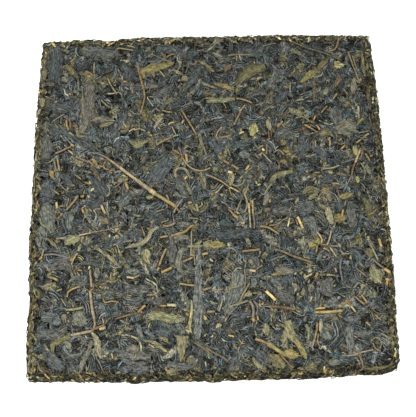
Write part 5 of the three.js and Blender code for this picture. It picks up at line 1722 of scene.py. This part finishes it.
# %% [markdown]
# ## The sides and rims
#
# A pressed brick shows its layers at the sides: leaves lie flat, so one sees their edges,
# running level. The rims are olive, because loose leaf dust and pale shreds gather there, so
# flat flakes and then short bits in every direction are laid along them. Each side gets a
# painted shade of its own for how the light falls on it: the front and the right one are
# drawn darker.

# %% Leaves round the sides
# Painted shade of the front, right, back and left sides: how light each is drawn.
SIDE_PAINTED_SHADE = (0.66, 0.82, 1.03, 1.02)


def side_batch(shape, columns, rows, kind, levels, shades, steepest, band, spread):
    """Leaves round the four sides, nearly level, between two heights from the middle."""
    p, q = jittered(columns, rows, 4 * SIDE_STRIDE, band[1] - band[0])
    p = p + 2 * SIDE_STRIDE
    q = q + (band[0] + band[1]) / 2
    count = len(p)
    size = [rng.uniform(*limits, count) for limits in kind["size"]]
    angle = rng.uniform(-steepest, steepest, count)
    lift = rng.uniform(*levels, count)
    points, grain = lay_loose(shape, wrap_side, (p, q), angle, size, lift, kind)
    # Each side gets its painted shade.
    tint = np.array(SIDE_PAINTED_SHADE)[(p // SIDE_STRIDE).astype(int).clip(0, 3)]
    return shape, points, grain, draw_shades(*shades, count, spread) * tint[:, None]


print("each side takes", round(SIDE_STRIDE, 1), "mm of the sheet")

# %% [markdown]
# Each batch gets the columns and rows of its grid, a kind, the heights it lies between and a
# palette. Then come the steepest angle of its leaves, in radians, the band of the sheet that
# it covers, in millimetres from mid height, and how far its shades spread.

# %% Laying the sides and rims
EDGE = loose_kind((5, 13), (0.9, 2.0), (0.4, 0.8), 0.25, 0.4, 0.3, 0.12)
RIM_FLAKE = loose_kind((4, 10), (1.4, 3.0), (0.3, 0.6), 0.3, 0.2, 0.4, 0.12)
RIM_BIT = loose_kind((1.6, 5), (0.7, 1.6), (0.4, 0.8), 0.5, 0.5, 0.3, 0.12)
SIDE_DARK = (("char", "slate", "drab", "ash", "brown"), (3, 2.4, 2, 1, 0.6))
SIDE_OLIVE = (("drab", "moss", "lime", "umber", "char", "gold", "amber"),
              (1.6, 5.4, 1.6, 1.4, 2.4, 1, 1))

make_piece("side_layers", dark_leaf, [
    side_batch(bed_shape, 130, 13, EDGE, (-1.6, -0.7), SIDE_DARK, 0.3, (-17, 15), 0.16),
    side_batch(bed_shape, 130, 10, EDGE, (-0.8, 0.0), SIDE_DARK, 0.3, (-12, 12), 0.16),
], FOLD_RIM_SHADING)
make_piece("rim_shreds", olive_leaf, [
    side_batch(bed_shape, 120, 4, RIM_FLAKE, (-0.9, -0.1), SIDE_OLIVE, 0.4, (11, 16.5), 0.3),
    side_batch(bed_shape, 260, 8, RIM_BIT, (-0.5, 0.5), SIDE_OLIVE, 1.2, (9, 17.3), 0.65),
    side_batch(bed_shape, 150, 5, RIM_BIT, (-0.9, 0.1), SIDE_OLIVE, 0.9, (-17, -8), 0.35),
    side_batch(bed_shape, 120, 5, RIM_BIT, (-0.5, 0.1), SIDE_OLIVE, 0.5, (-10, 10), 0.3),
], FOLD_RIM_SHADING)

# %% [markdown]
# ## The underside
#
# Nobody has seen it in the photo. It is pressed like the face and rests on the table, so it
# gets the same layers, flatter and without the proud stems.

# %% The underside
make_piece("under_scraps", dark_leaf, [
    face_batch(bed_shape, wrap_base, 40, SCRAP, (-1.8, -1.0), DEEP_SHADED, 0.16),
    face_batch(bed_shape, wrap_base, 40, SCRAP, (-1.1, -0.5), DARK, 0.16),
], FLAT_RIM_SHADING)
make_piece("under_shreds", olive_leaf, [
    face_batch(bed_shape, wrap_base, 32, SHRED, (-0.8, -0.3), MIXED, 0.2),
    face_batch(bed_shape, wrap_base, 18, SCRAP, (-0.6, -0.3), FADED, 0.16),
    face_batch(bed_shape, wrap_base, 16, CRUMB, (-0.5, -0.3), BRIGHT, 0.25),
], FLAT_RIM_SHADING)
